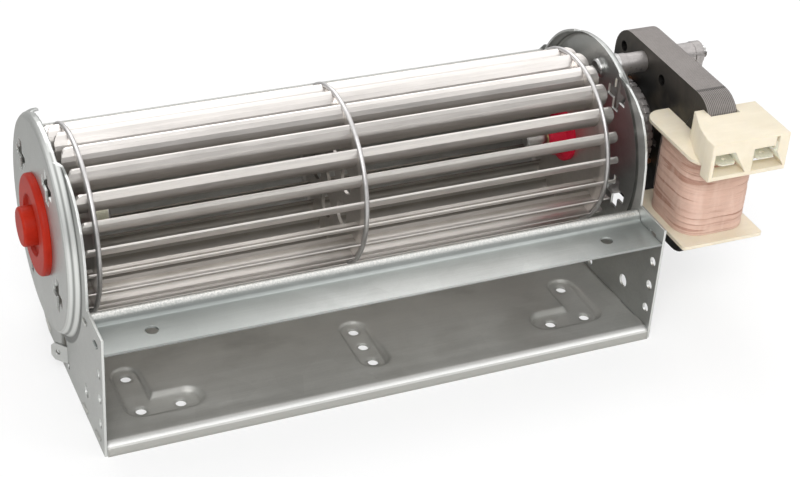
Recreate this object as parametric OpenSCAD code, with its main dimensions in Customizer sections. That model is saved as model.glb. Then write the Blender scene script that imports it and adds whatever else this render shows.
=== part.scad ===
// Tangential (cross-flow) blower with its shaded-pole fan motor.
// +X runs along the rotor towards the motor, +Y to the rear, +Z up, millimetres.
// The origin is the centre of the four outer floor holes, on the plane that the blower stands on.

/* [Rotor] */
// Length of the rotor over the blade ends
rotor_len = 180; // [120:1:240]
// Outer radius of the blades
blade_r = 29.4; // [27:0.1:31]
// Radius at which the blades start
blade_inner_r = 22.5; // [20:0.1:24]
// Angle by which the outer edge of a blade leads its inner edge
blade_lead = 9.5; // [7:0.5:12]
// Thickness of the blade strip
blade_t = 0.5; // [0.3:0.05:0.8]
// Number of blades
blade_count = 22; // [16:1:26]
// Turn of the first blade from the front
blade_phase = 3.9; // [0:0.1:16]
// Thickness of the slotted discs
disc_t = 1.0; // [0.6:0.1:1.6]
// Distance of the end discs from the blade ends
disc_inset = 5; // [4:0.5:10]
// Wire diameter of the clamping rings
ring_wire_d = 1.6; // [1:0.1:2.2]
// Depth to which a ring sinks into the blade edges
ring_sink = 1.0; // [0.6:0.1:1.4]

/* [Housing] */
// Gap between the rotor's ends and the flat of each end plate
rotor_end_gap = 1.7; // [1:0.1:4]
// Thickness of all housing sheets
sheet_t = 0.8; // [0.6:0.1:1.2]
// Height of the rotor axis above the standing plane
axis_height = 47.4; // [45:0.1:52]
// Distance of the rotor axis behind the centre of the floor holes
axis_setback = 32.45; // [30:0.05:36]
// Distance from the rotor axis to the outlet's front edge
outlet_reach = 57; // [54:0.5:66]
// Slope by which the floor rises towards the outlet
floor_slope = 3.3; // [2.5:0.1:4]
// Height of the outlet's upper wall below the rotor axis
tongue_drop = 10.3; // [9:0.1:12]
// Opening angle of the scroll spiral
scroll_angle = 7.5; // [5:0.5:9]
// Angle, counted from the front over the top, at which the scroll starts
scroll_start = 156; // [150:1:170]
// Outward depth of the dished middle of each end plate
dish_depth = 3.3; // [2.5:0.1:4.5]
// Radius where the dish's shoulder begins
dish_flat_r = 32.6; // [31.8:0.1:33]
// Radius where the dish's shoulder ends
dish_edge_r = 35.8; // [35.4:0.1:36.6]

/* [Hole patterns] */
// Distance between the outer floor holes along the rotor
floor_hole_dx = 153.3; // [140:0.1:160]
// Distance between the front and the rear row of floor holes
floor_hole_dy = 16.7; // [14:0.1:20]
// Distance between the two inner front holes
floor_inner_dx = 128; // [118:0.5:132]
// Diameter of the floor holes
floor_hole_d = 3.5; // [3:0.1:4.5]
// Distance between the holes in the tongue
tongue_hole_dx = 150.8; // [130:0.1:160]
// Diameter of the holes in the tongue
tongue_hole_d = 4.0; // [3:0.1:4.5]
// Pitch of the three holes at the front of each end plate
side_hole_pitch = 9.1; // [8:0.1:10]
// Diameter of those three holes
side_hole_d = 3.2; // [2.5:0.1:3.6]
// Radius of the circle of cross-shaped holes in each end plate
cross_ring_r = 24; // [23:0.5:25]

/* [Motor] */
// Distance from the end plate's flat to the lamination stack
stack_gap = 19.2; // [18:0.1:24]
// Thickness of the lamination stack
stack_t = 10.7; // [8:0.1:16]
// Half of the stack's height
stack_half = 30.1; // [29:0.1:32]
// Half of the height of the window that holds the coil
window_half = 16.4; // [14:0.1:18]
// Distance from the axis to the middle of the coil
coil_reach = 37; // [36.5:0.1:40]
// Width of the laminated coil leg
leg_w = 13; // [11:0.1:14]
// Bore radius of the stator
stator_bore_r = 13.4; // [12:0.1:14]
// Air gap between stator and squirrel cage
air_gap = 0.3; // [0.2:0.05:0.5]
// Distance of the long screws from the axis
screw_reach = 24; // [22:0.5:26]
// Diameter of the long screws
screw_d = 4; // [3:0.1:4.2]
// Shaft diameter
shaft_d = 5; // [4:0.1:6]
// Radial running clearance of the shafts
shaft_clear = 0.04; // [0.02:0.01:0.08]
// Spacing of the free stack holes across the motor
stack_hole_dy = 25.4; // [24:0.1:28]
// Spacing of the free stack holes over the motor's height
stack_hole_dz = 46.6; // [44:0.1:48]
// Diameter of the free stack holes
stack_hole_d = 3.6; // [3:0.1:4]
// Width of the bobbin's flanges along the rotor
bobbin_w = 30.4; // [27:0.1:34]
// Depth of the bobbin's flanges, front to rear
bobbin_d = 35.3; // [33:0.1:36]
// Wall thickness of the bobbin
bobbin_t = 1.2; // [0.8:0.1:1.6]
// Winding width along the rotor
winding_w = 26; // [20:0.5:28]
// Winding depth, front to rear
winding_d = 26.6; // [22:0.1:30]

/* [Connector] */
// Width of the connector housing
plug_w = 28.6; // [27:0.1:32]
// Distance by which the connector stands out in front of the bobbin
plug_overhang = 5.35; // [4.5:0.05:8]
// Height of the connector's roof above the axis
plug_top = 26.3; // [25:0.1:28]
// Width of a terminal blade
blade_terminal_w = 6.3; // [4.8:0.1:6.3]
// Thickness of a terminal blade
blade_terminal_t = 0.8; // [0.5:0.1:1]
// Distance between the two terminals
terminal_pitch = 14.3; // [13:0.1:15]

/* [Hidden] */
$fn = 64;

// Fits between pieces
slot_clear = 0.06;
fold_clear = 0.1;
press_clear = 0.02;

// Rotor stations along X
half_rotor = rotor_len / 2;
disc_x = half_rotor - disc_inset;
ring_r = blade_r + ring_wire_d / 2 - ring_sink;
disc_r = blade_r - ring_sink;
blade_out_dr = blade_r * cos(blade_lead) - blade_inner_r;
blade_out_dt = blade_r * sin(blade_lead);
blade_arc_r = (blade_out_dr * blade_out_dr + blade_out_dt * blade_out_dt) / (2 * blade_out_dt);
blade_sweep = asin(min(1, blade_out_dr / blade_arc_r));

// Housing stations along X, as distances from the middle
flat_in = half_rotor + rotor_end_gap;
flat_mid = flat_in + sheet_t / 2;
flat_out = flat_in + sheet_t;
dish_out = flat_out + dish_depth;
dish_in = flat_in + dish_depth;
sheet_half = flat_in - fold_clear;

// Housing profile, all heights and depths from the rotor axis
floor_bend_r = 20;
spiral_end = 269;
spiral_tilt = scroll_angle + 270 - spiral_end;
spiral_end_r = (axis_height - sheet_t / 2 - floor_bend_r * (1 - cos(spiral_tilt))) / sin(spiral_end - 180);
floor_start = [-spiral_end_r * cos(spiral_end) - floor_bend_r * (sin(spiral_tilt) + sin(floor_slope)),
    -axis_height + sheet_t / 2 + floor_bend_r * (1 - cos(floor_slope))];
lip_r = 2.2;
lip_mid = -outlet_reach;
floor_len = (floor_start[0] - lip_mid - lip_r) / cos(floor_slope);
tab_len = 5;
tab_proud = 0.4;
edge_round = 34.3;
rear_r = 45.2;
shoulder_step = 4.9;
tongue_hole_reach = 49.6;

// Motor stations along X
stack_x0 = flat_out + stack_gap;
stack_x1 = stack_x0 + stack_t;
stack_x = (stack_x0 + stack_x1) / 2;
strap_t = 3;
inner_strap_x = stack_x0 - 10.2;
outer_strap_x = stack_x1 + 8;
outer_leg_end = outer_strap_x + strap_t;
shaft_r = shaft_d / 2;
shaft_tip_x = half_rotor - 20.3;
shaft_end_x = outer_leg_end + 4;
bell_r = 16.5;
leg_inner_y = -coil_reach + leg_w / 2;
leg_outer_y = -coil_reach - leg_w / 2;
joint_y = leg_inner_y - 2.9;
corner_r = 9.6;
body_front = -17.6;
body_rear = 18.5;
cage_r = stator_bore_r - air_gap;
flange_z = window_half - fold_clear;
bearing_r = 5;
bearing_half = 3.4;
inner_bearing_x = inner_strap_x + 1.8;
outer_bearing_x = outer_strap_x + 1.2;
core_over = 0.4;
cage_ring_t = 2;
stack_notch = 8;
inner_leg_d = 7;
outer_leg_d = 7.8;
boss_out = 2.2;
boss_in = 4.4;

// Colours
galvanised = [0.70, 0.73, 0.73];
aluminium = [0.86, 0.85, 0.83];
steel = [0.62, 0.62, 0.62];
zinc = [0.55, 0.52, 0.52];
lamination = [0.33, 0.32, 0.32];
silicone = [0.82, 0.20, 0.12];
bronze = [0.72, 0.55, 0.30];
cream = [0.94, 0.89, 0.76];
copper = [0.82, 0.63, 0.54];

// Geometry helpers
// Point at radius r and angle a, counted from the front (-Y) over the top, as [y, z] from the axis
function polar(r, a) = [-r * cos(a), r * sin(a)];

// Points of a polar arc from angle a0 to a1
function arc(r, a0, a1, n = 12) = [for (i = [0:n]) polar(r, a0 + (a1 - a0) * i / n)];

// Points of a circular arc round c, in plain mathematical angles
function sweep(c, r, a0, a1, n = 8) =
    [for (i = [0:n]) let (a = a0 + (a1 - a0) * i / n) [c[0] + r * cos(a), c[1] + r * sin(a)]];

// Path of a bent strip: each step is [straight length, bend angle, bend radius]
function bend_points(p, h, turn, r, n = 6) =
    let (s = sign(turn), c = [p[0] - s * r * sin(h), p[1] + s * r * cos(h)])
    [for (i = [1:n]) let (a = h - s * 90 + turn * i / n) [c[0] + r * cos(a), c[1] + r * sin(a)]];
function trail(p, h, steps, i = 0) =
    i >= len(steps) ? [] :
    let (q = [p[0] + steps[i][0] * cos(h), p[1] + steps[i][0] * sin(h)],
        bend = steps[i][1] == 0 ? [] : bend_points(q, h, steps[i][1], steps[i][2]),
        last = steps[i][1] == 0 ? q : bend[len(bend) - 1])
    concat(steps[i][0] == 0 ? [] : [q], bend, trail(last, h + steps[i][1], steps, i + 1));

// Outline of a strip of thickness t along a path
function unit(v) = v / norm(v);
function along(p, i) = unit(p[min(i + 1, len(p) - 1)] - p[max(i - 1, 0)]);
function side(p, i, d) = let (u = along(p, i)) [p[i][0] - u[1] * d, p[i][1] + u[0] * d];
function strip(p, t) = concat([for (i = [0:len(p) - 1]) side(p, i, t / 2)],
    [for (i = [len(p) - 1:-1:0]) side(p, i, -t / 2)]);

// Moves to the rotor axis
module at_axis() {
    translate([0, axis_setback, axis_height]) children();
}

// Extrudes a [y, z] outline along X, from x0 to x1
module along_x(x0, x1) {
    translate([x0, 0, 0]) rotate([90, 0, 90]) linear_extrude(x1 - x0) children();
}

// Turns an [r, x] outline round the X axis, from angle a0 to a1 counted from the front over the top
module turned(a0 = 0, a1 = 360) {
    rotate([0, 90, 0]) rotate([0, 0, 270 - a1]) rotate_extrude(angle = a1 - a0, $fn = 96) children();
}

// A rod on the X axis, or beside it at [y, z]
module rod(x0, x1, r, at = [0, 0]) {
    translate([x0, at[0], at[1]]) rotate([0, 90, 0]) cylinder(h = x1 - x0, r = r);
}

// A tube on the X axis, or beside it at [y, z]
module tube(x0, x1, r_out, r_in, at = [0, 0]) {
    difference() {
        rod(x0, x1, r_out, at);
        rod(x0 - 1, x1 + 1, r_in, at);
    }
}

// Rectangle with rounded corners, centred
module rounded_rect(w, d, r) {
    union() {
        square([w - 2 * r, d], center = true);
        square([w, d - 2 * r], center = true);
        for (sx = [-1, 1], sy = [-1, 1]) translate([sx * (w / 2 - r), sy * (d / 2 - r)]) circle(r = r);
    }
}

// Rotor
blade_path = [for (i = [0:6]) let (f = blade_sweep * i / 6)
    [blade_inner_r + blade_arc_r * sin(f), blade_arc_r * (1 - cos(f))]];

// Sections of all blades, or of the slots that hold them, which start a little further in
module blade_ring_section(t, path) {
    for (i = [0:blade_count - 1]) rotate(-(blade_phase + i * 360 / blade_count)) mirror([1, 0]) polygon(strip(path, t));
}

// Half outline of the space that the blades fill: rounded ends and a seat for each ring
module blade_envelope() {
    end_round = 2.6;
    seat_w = ring_wire_d / 2 + slot_clear;
    seat = disc_r;
    polygon(concat(
        [[1, -half_rotor], [blade_r - end_round, -half_rotor]],
        sweep([blade_r - end_round, -half_rotor + end_round], end_round, -90, 0, 5),
        [for (x = [-disc_x, 0, disc_x]) each [[blade_r + 0.01, x - seat_w], [seat, x - seat_w],
            [seat, x + seat_w], [blade_r + 0.01, x + seat_w]]],
        sweep([blade_r - end_round, half_rotor - end_round], end_round, 0, 90, 5),
        [[1, half_rotor]]));
}

module impeller_blades() {
    color(aluminium) at_axis() intersection() {
        along_x(-half_rotor - 1, half_rotor + 1) blade_ring_section(blade_t, blade_path);
        turned() blade_envelope();
    }
}

// A disc with one open slot for each blade and a round centre hole
module slotted_disc(x, hole_r) {
    along_x(x - disc_t / 2, x + disc_t / 2) difference() {
        circle(r = disc_r - slot_clear, $fn = 96);
        circle(r = hole_r);
        blade_ring_section(blade_t + 2 * slot_clear, concat([[blade_inner_r - 0.3, 0]], blade_path));
    }
}

module left_disc() {
    color(aluminium) at_axis() slotted_disc(-disc_x, collar_r);
}

module middle_disc() {
    window_count = 6;
    color(aluminium) at_axis() difference() {
        slotted_disc(0, 4);
        for (i = [0:window_count - 1]) rod(-disc_t, disc_t, 4.2, polar(13.5, 20 + i * 360 / window_count));
    }
}

module right_disc() {
    color(aluminium) at_axis() slotted_disc(disc_x, hub_neck_r);
}

module wire_ring(x) {
    turned() translate([ring_r, x]) circle(d = ring_wire_d, $fn = 24);
}

module left_ring() {
    color(steel) at_axis() wire_ring(-disc_x);
}

module middle_ring() {
    color(steel) at_axis() wire_ring(0);
}

module right_ring() {
    color(steel) at_axis() wire_ring(disc_x);
}

// Left end: a steel stub shaft in a riveted brass collar
collar_r = 4.5;
collar_len = 10;

module stub_collar() {
    x = -disc_x;
    color(bronze) at_axis() turned() polygon([[shaft_r + press_clear, x - disc_t / 2 - 1.4],
        [collar_r + 1.8, x - disc_t / 2 - 1.4], [collar_r + 1.8, x - disc_t / 2], [collar_r - press_clear, x - disc_t / 2],
        [collar_r - press_clear, x + disc_t / 2 + 0.6], [collar_r - 0.8, x + collar_len],
        [shaft_r + press_clear, x + collar_len]]);
}

stub_end_x = -dish_out - 4.2;

module stub_shaft() {
    tip = 0.5;
    x1 = -disc_x + collar_len + 1;
    color(steel) at_axis() turned() polygon([[0, stub_end_x], [shaft_r - tip, stub_end_x], [shaft_r, stub_end_x + tip],
        [shaft_r, x1 - tip], [shaft_r - tip, x1], [0, x1]]);
}

// Red rubber bush in the left plate, closed by its cap, with the sleeve bearing inside
bush_flange_r = 16;
bush_flange_t = 2.4;
bush_neck_r = 8;
bush_boss_r = 6.3;
bush_end_x = -dish_out - 6;
bearing_out_r = 4.4;

module bearing_bush() {
    inner_lip = 1.7;
    recess_r = 9.4;
    recess = 1.2;
    rim_round = 1.1;
    boss_round = 1;
    face = -dish_out - bush_flange_t;
    color(silicone) at_axis() turned() polygon(concat([[0, bush_end_x]],
        sweep([bush_boss_r - boss_round, bush_end_x + boss_round], boss_round, -90, 0, 4),
        [[bush_boss_r, face + recess], [recess_r, face + recess], [recess_r + 0.4, face]],
        sweep([bush_flange_r - rim_round, face + rim_round], rim_round, -90, 0, 5),
        [[bush_flange_r, -dish_out], [bush_neck_r - press_clear, -dish_out], [bush_neck_r - press_clear, -dish_in],
        [bush_neck_r + 1.6, -dish_in], [bush_neck_r + 0.8, -dish_in + inner_lip],
        [bearing_out_r + press_clear, -dish_in + inner_lip], [bearing_out_r + press_clear, bush_end_x + 1.4],
        [0, bush_end_x + 1.4]]));
}

module stub_bearing() {
    color(bronze) at_axis() tube(bush_end_x + 1.5, -dish_in + 1.4, bearing_out_r, shaft_r + shaft_clear);
}

// Right end: red rubber hub in the disc, pressed on a sleeve that grips the motor shaft
hub_neck_r = 7.4;
hub_nose = 8.2;
sleeve_r = 4;

module rubber_hub() {
    x = disc_x;
    color(silicone) at_axis() turned() polygon([[sleeve_r + press_clear, x - hub_nose], [5.2, x - hub_nose],
        [5.8, x - hub_nose + 0.8], [6.6, x - disc_t / 2 - 2.4], [hub_neck_r + 1.4, x - disc_t / 2 - 1.4],
        [hub_neck_r + 1.4, x - disc_t / 2], [hub_neck_r - press_clear, x - disc_t / 2],
        [hub_neck_r - press_clear, x + disc_t / 2], [bush_flange_r - 1, x + disc_t / 2],
        [bush_flange_r, x + disc_t / 2 + 0.7], [bush_flange_r - 0.8, x + disc_t / 2 + 2], [8, x + disc_t / 2 + 2.6],
        [6.6, x + disc_t / 2 + 4], [sleeve_r + press_clear, x + disc_t / 2 + 4]]);
}

module hub_sleeve() {
    color(bronze) at_axis() tube(disc_x - hub_nose + 0.5, disc_x + disc_t / 2 + 4.4, sleeve_r, shaft_r + press_clear);
}

module motor_shaft() {
    tip = 0.5;
    color(steel) at_axis() turned() polygon([[0, shaft_tip_x], [shaft_r - tip, shaft_tip_x],
        [shaft_r, shaft_tip_x + tip], [shaft_r, shaft_end_x - tip], [shaft_r - tip, shaft_end_x], [0, shaft_end_x]]);
}

// Squirrel cage: laminated core with cast bars and end rings
bar_count = 12;
bar_r = 1.1;
bar_reach = cage_r - bar_r - 0.6;
core_x0 = stack_x0 - core_over;
core_x1 = stack_x1 + core_over;

module rotor_core() {
    color(lamination) at_axis() difference() {
        tube(core_x0, core_x1, cage_r, shaft_r + press_clear);
        for (i = [0:bar_count - 1]) rod(core_x0 - 1, core_x1 + 1, bar_r, polar(bar_reach, i * 360 / bar_count));
    }
}

module rotor_cage() {
    ring_in = shaft_r + 3.6;
    color(aluminium) at_axis() union() {
        for (i = [0:bar_count - 1])
            rod(core_x0 - 0.5, core_x1 + 0.5, bar_r - press_clear, polar(bar_reach, i * 360 / bar_count));
        tube(core_x0 - cage_ring_t, core_x0, cage_r - 0.3, ring_in);
        tube(core_x1, core_x1 + cage_ring_t, cage_r - 0.3, ring_in);
    }
}

module thrust_washers() {
    inner_face = inner_bearing_x + bearing_half;
    outer_face = outer_bearing_x - bearing_half;
    color(steel) at_axis() union() {
        tube(inner_face + 0.4, core_x0 - 0.05, shaft_r + 1.6, shaft_r + press_clear);
        tube(core_x1 + 0.05, outer_face - 0.4, shaft_r + 1.6, shaft_r + press_clear);
    }
}

// Housing sheets
// Angle and radius of the scroll's spiral
function spiral_r(a) = spiral_end_r * exp(-tan(scroll_angle) * (spiral_end - a) * PI / 180);
function spiral(a) = polar(spiral_r(a), a);
function spiral_heading(a) = -a + scroll_angle + 90;

// Height of the floor's middle surface at depth y
function floor_at(y) = floor_start[1] + (floor_start[0] - y) * tan(floor_slope);

lip_drop = floor_at(lip_mid + lip_r) - lip_r * (1 - sin(floor_slope)) + axis_height;
scroll_path = concat(
    [for (i = [0:20]) spiral(scroll_start + (spiral_end - scroll_start) * i / 20)],
    trail(spiral(spiral_end), 180 + spiral_tilt, [[0, -spiral_tilt - floor_slope, floor_bend_r],
        [floor_len, 90 + floor_slope, lip_r], [lip_drop, 0, 0]]));

// Places of the tabs that lock the sheets in the end plates, as [y, z, heading]
floor_tabs = [for (y = [-36, -50.5]) [y, floor_at(y), -floor_slope]];
scroll_tabs = [for (a = [178, 218, 259]) [spiral(a)[0], spiral(a)[1], spiral_heading(a)]];
tongue_tabs = [[-outlet_reach + 17.7, -tongue_drop, 0], [-outlet_reach + 6.1, -tongue_drop, 0]];

module tab_shape(tab, len, t) {
    translate([tab[0], tab[1]]) rotate(tab[2]) square([len, t], center = true);
}

// Tabs that reach through the plates on both sides
module lock_tabs(tabs, len) {
    for (tab = tabs) along_x(-flat_out - tab_proud, flat_out + tab_proud) tab_shape(tab, len, sheet_t);
}

// A bar with rounded ends and sloped walls, from p0 to p1, w wide at the standing plane
module pad_bar(p0, p1, w, z0, z1) {
    d = p1 - p0;
    w0 = w / 2 + pad_slope * z0;
    w1 = w / 2 + pad_slope * z1;
    for (p = [p0, p1]) translate([p[0], p[1], z0]) cylinder(h = z1 - z0, r1 = w0, r2 = w1);
    translate([p0[0], p0[1], z0]) rotate([0, 0, atan2(d[1], d[0])]) rotate([90, 0, 90])
        linear_extrude(norm(d)) polygon([[-w0, 0], [w0, 0], [w1, z1 - z0], [-w1, z1 - z0]]);
}

hx = floor_hole_dx / 2;
hy = floor_hole_dy / 2;
ix = floor_inner_dx / 2;
arm = ix - 2;
pad_lines = [[[-hx, hy], [-hx, -hy]], [[-hx, -hy], [-arm, -hy]], [[hx, hy], [hx, -hy]], [[hx, -hy], [arm, -hy]],
    [[0, hy], [0, -hy]]];
floor_holes = [[-hx, hy], [-hx, -hy], [-ix, -hy], [hx, hy], [hx, -hy], [ix, -hy], [0, hy], [0, 0], [0, -hy]];
pad_w = 7.2;
pad_wall = 0.7;
pad_slope = 0.6;
pad_high = 4;

module scroll_sheet() {
    color(galvanised) difference() {
        union() {
            at_axis() along_x(-sheet_half, sheet_half) polygon(strip(scroll_path, sheet_t));
            at_axis() lock_tabs(concat(floor_tabs, scroll_tabs), tab_len);
            intersection() {
                for (l = pad_lines) pad_bar(l[0], l[1], pad_w + 2 * pad_wall, 0, pad_high);
                at_axis() along_x(-half_rotor, half_rotor) polygon([[0, floor_at(0)], [lip_mid + lip_r,
                    floor_at(lip_mid + lip_r)], [lip_mid + lip_r, -axis_height - 1], [0, -axis_height - 1]]);
            }
        }
        for (l = pad_lines) pad_bar(l[0], l[1], pad_w, sheet_t, pad_high + 1);
        for (p = floor_holes) translate([p[0], p[1], -1]) cylinder(h = pad_high, d = floor_hole_d);
    }
}

// The tongue starts at the outlet's front edge, rises to a rounded hem and turns under to a nose at the rotor
tongue_path = concat([[-outlet_reach, -tongue_drop]],
    trail([-outlet_reach, -tongue_drop], 0, [[13.2, 60, 1.8], [1.2, -98, 1.6], [8.4, -122, 1.3], [2, 0, 0]]));

module tongue_sheet() {
    color(galvanised) at_axis() difference() {
        union() {
            along_x(-sheet_half, sheet_half) polygon(strip(tongue_path, sheet_t));
            lock_tabs(tongue_tabs, tab_len - 1.6);
        }
        for (s = [-1, 1]) translate([s * tongue_hole_dx / 2, -tongue_hole_reach, -tongue_drop - 2])
            cylinder(h = 5 * sheet_t, d = tongue_hole_d);
    }
}

// End plates
// The flange in front of the dish, as [radius, angle] over the step of the outline
flange_edge = [[41.2, 4], [41.5, 12], [41.9, 20], [42.1, 27], [41.8, 35], [40.3, 43], [38.6, 50], [36.6, 56],
    [35.2, 60]];
top_a0 = 63;
top_a1 = 150;
rear_a0 = 184;
rear_a1 = 238;
floor_rear = 9.5;
plate_outline = concat(
    [[-outlet_reach, -axis_height], [-outlet_reach, -shoulder_step], [-41.4, -shoulder_step]],
    [for (p = flange_edge) polar(p[0], p[1])],
    arc(edge_round, top_a0, top_a1, 14),
    [polar(36.8, 153), polar(41.2, 168)],
    arc(rear_r, rear_a0, rear_a1, 10),
    [[floor_rear, -axis_height]]);

// Depth of the dish's middle surface at radius r
function dish_at(r) = r <= dish_flat_r ? dish_depth :
    dish_depth * (1 + cos(180 * (r - dish_flat_r) / (dish_edge_r - dish_flat_r))) / 2;
dish_path = concat([[0, -flat_mid - dish_depth]],
    [for (i = [0:8]) let (r = dish_flat_r + (dish_edge_r - dish_flat_r) * i / 8) [r, -flat_mid - dish_at(r)]],
    [[dish_edge_r + 2, -flat_mid]]);
lip_a0 = 112;
lip_a1 = 152;
lip_start_r = edge_round - 0.7;
lip_path = [[lip_start_r, -flat_mid - dish_at(lip_start_r) + 0.15], [edge_round - 0.05, -flat_mid - 1.1],
    [edge_round + 0.25, -flat_mid - 0.2], [edge_round + 0.3, -flat_mid + 0.9]];

// Cross-shaped hole with upright and level arms
cross_len = 11.2;
cross_w = 3.8;

module cross_hole(a) {
    p = polar(cross_ring_r, a);
    for (turn = [0, 90]) translate([-dish_out - 1, p[0], p[1]]) rotate([turn, 0, 0])
        translate([0, -cross_len / 2, -cross_w / 2]) cube([4, cross_len, cross_w]);
}

side_hole_y = -outlet_reach + 3.6;
side_hole_z = -28.3;
screw_holes = [[0, screw_reach], [0, -screw_reach]];
earth_y = -15.2;
earth_z = -43.2;
earth_size = 6.3;
earth_window_h = 8.6;
right_hole_r = 11.5;

// One end plate, as the left one: the dish stands out towards -X
module end_plate(centre_r) {
    difference() {
        union() {
            along_x(-flat_out, -flat_in) difference() {
                polygon(plate_outline);
                circle(r = dish_edge_r + 1, $fn = 96);
            }
            intersection() {
                turned() polygon(strip(dish_path, sheet_t));
                along_x(-dish_out - 1, -flat_in + 1) polygon(plate_outline);
            }
            turned(lip_a0, lip_a1) polygon(strip(lip_path, sheet_t));
        }
        rod(-dish_out - 1, -flat_in, centre_r);
        for (i = [0:3]) cross_hole(58 + i * 90);
        for (i = [-1:1]) rod(-flat_out - 1, -flat_in + 1, side_hole_d / 2, [side_hole_y, side_hole_z + i * side_hole_pitch]);
        rod(-flat_out - 1, -flat_in + 1, 2.25, [-38, -36.8]);
        rod(-flat_out - 1, -flat_in + 1, 1.5, [-16.2, -43]);
        along_x(-flat_out - 1, -flat_in + 1)
            for (tab = concat(floor_tabs, scroll_tabs)) tab_shape(tab, tab_len + 0.4, sheet_t + 2 * fold_clear);
        along_x(-flat_out - 1, -flat_in + 1)
            for (tab = tongue_tabs) tab_shape([tab[0], tab[1] + 0.35, 0], tab_len - 1.2, sheet_t + 0.9);
    }
}

// Earth tab: lanced from the plate and bent out about its front edge
module earth_tab() {
    corner = 1.3;
    translate([-flat_mid, earth_y, earth_z]) rotate([0, 0, 40]) difference() {
        along_x(-sheet_t / 2, sheet_t / 2) polygon([[0, 0], [earth_size - corner, 0], [earth_size, corner],
            [earth_size, earth_size - corner], [earth_size - corner, earth_size], [0, earth_size]]);
        rod(-sheet_t, sheet_t, 0.9, [earth_size / 2 + 0.6, earth_size / 2]);
    }
}

module left_end_plate() {
    color(galvanised) at_axis() union() {
        difference() {
            end_plate(bush_neck_r);
            translate([-flat_out - 1, earth_y + 0.3, earth_z - 0.3])
                cube([sheet_t + 2, earth_size + 0.6, earth_window_h]);
        }
        earth_tab();
    }
}

module right_end_plate() {
    color(galvanised) at_axis() difference() {
        mirror([1, 0, 0]) end_plate(right_hole_r);
        for (p = screw_holes) rod(flat_in, dish_out + 1, screw_d / 2 + fold_clear, p);
    }
}

// Motor
module stack_outline() {
    rear_r_corner = 9.5;
    corner = 1.5;
    difference() {
        polygon(concat(
            [[joint_y, stack_half]],
            sweep([body_rear - rear_r_corner, stack_half - rear_r_corner], rear_r_corner, 90, 0, 8),
            sweep([body_rear - rear_r_corner, -stack_half + rear_r_corner], rear_r_corner, 0, -90, 8),
            [[joint_y, -stack_half], [joint_y, -stack_half + stack_notch], [leg_inner_y, -window_half],
                [body_front - corner, -window_half], [body_front, -window_half + corner],
                [body_front, window_half - corner], [body_front - corner, window_half], [leg_inner_y, window_half],
                [joint_y, stack_half - stack_notch]]));
        circle(r = stator_bore_r, $fn = 96);
        square([2 * stator_bore_r + 4, 2.4], center = true);
    }
}

shade_r = 15.3;
shade_wire_r = 0.8;
shade_bar_r = 0.92;
shade_angles = [[112, 150], [292, 330]];

module stator_stack() {
    color(lamination) at_axis() difference() {
        along_x(stack_x0, stack_x1) stack_outline();
        for (sy = [-1, 1], sz = [-1, 1])
            rod(stack_x0 - 1, stack_x1 + 1, stack_hole_d / 2, [sy * stack_hole_dy / 2, sz * stack_hole_dz / 2]);
        for (p = screw_holes) rod(stack_x0 - 1, stack_x1 + 1, screw_d / 2 + fold_clear, p);
        for (pair = shade_angles, a = pair)
            rod(stack_x0 - 1, stack_x1 + 1, shade_wire_r + press_clear, polar(shade_r, a));
    }
}

// Laminated leg that the coil sits on; it closes the frame at the front
module coil_core() {
    color(lamination) at_axis() along_x(stack_x0, stack_x1) polygon(concat(
        sweep([leg_outer_y + corner_r, stack_half - corner_r], corner_r, 180, 90, 8),
        [[joint_y - press_clear, stack_half], [joint_y - press_clear, stack_half - stack_notch],
            [leg_inner_y, window_half - 0.1], [leg_inner_y, -window_half + 0.1],
            [joint_y - press_clear, -stack_half + stack_notch], [joint_y - press_clear, -stack_half]],
        sweep([leg_outer_y + corner_r, -stack_half + corner_r], corner_r, 270, 180, 8)));
}

// Two closed copper loops, one round a part of each pole
module shading_rings() {
    proud = shade_bar_r + 0.03;
    color(copper) at_axis() for (pair = shade_angles) {
        a = polar(shade_r, pair[0]);
        b = polar(shade_r, pair[1]);
        d = b - a;
        union() {
            for (p = [a, b]) rod(stack_x0 - proud - 0.25, stack_x1 + proud + 0.25, shade_wire_r, p);
            for (x = [stack_x0 - proud, stack_x1 + proud])
                translate([x, (a[0] + b[0]) / 2, (a[1] + b[1]) / 2]) rotate([atan2(d[1], d[0]) - 90, 0, 0])
                    cylinder(h = norm(d) + 2 * shade_bar_r, r = shade_bar_r, center = true);
        }
    }
}

// Bobbin: a square tube on the leg between two flanges
module bobbin_section(grow) {
    translate([stack_x, -coil_reach]) square([stack_t + 2 * grow, leg_w + 2 * grow], center = true);
}

module bobbin() {
    tube_grow = fold_clear + bobbin_t;
    color(cream) at_axis() difference() {
        union() {
            translate([0, 0, -flange_z]) linear_extrude(2 * flange_z) bobbin_section(tube_grow);
            translate([stack_x, -coil_reach, -flange_z]) linear_extrude(bobbin_t) rounded_rect(bobbin_w, bobbin_d, 1.2);
            translate([stack_x, -coil_reach, flange_z - bobbin_t]) linear_extrude(bobbin_t)
                rounded_rect(bobbin_w, bobbin_d, 6);
        }
        translate([0, 0, -flange_z - 1]) linear_extrude(2 * flange_z + 2) bobbin_section(fold_clear);
    }
}

module winding() {
    round_r = 8;
    h = 2 * (flange_z - bobbin_t - 0.05);
    color(copper) at_axis() translate([0, 0, -h / 2]) linear_extrude(h) difference() {
        translate([stack_x, -coil_reach]) rounded_rect(winding_w, winding_d, round_r);
        bobbin_section(fold_clear + bobbin_t + press_clear);
    }
}

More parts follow.
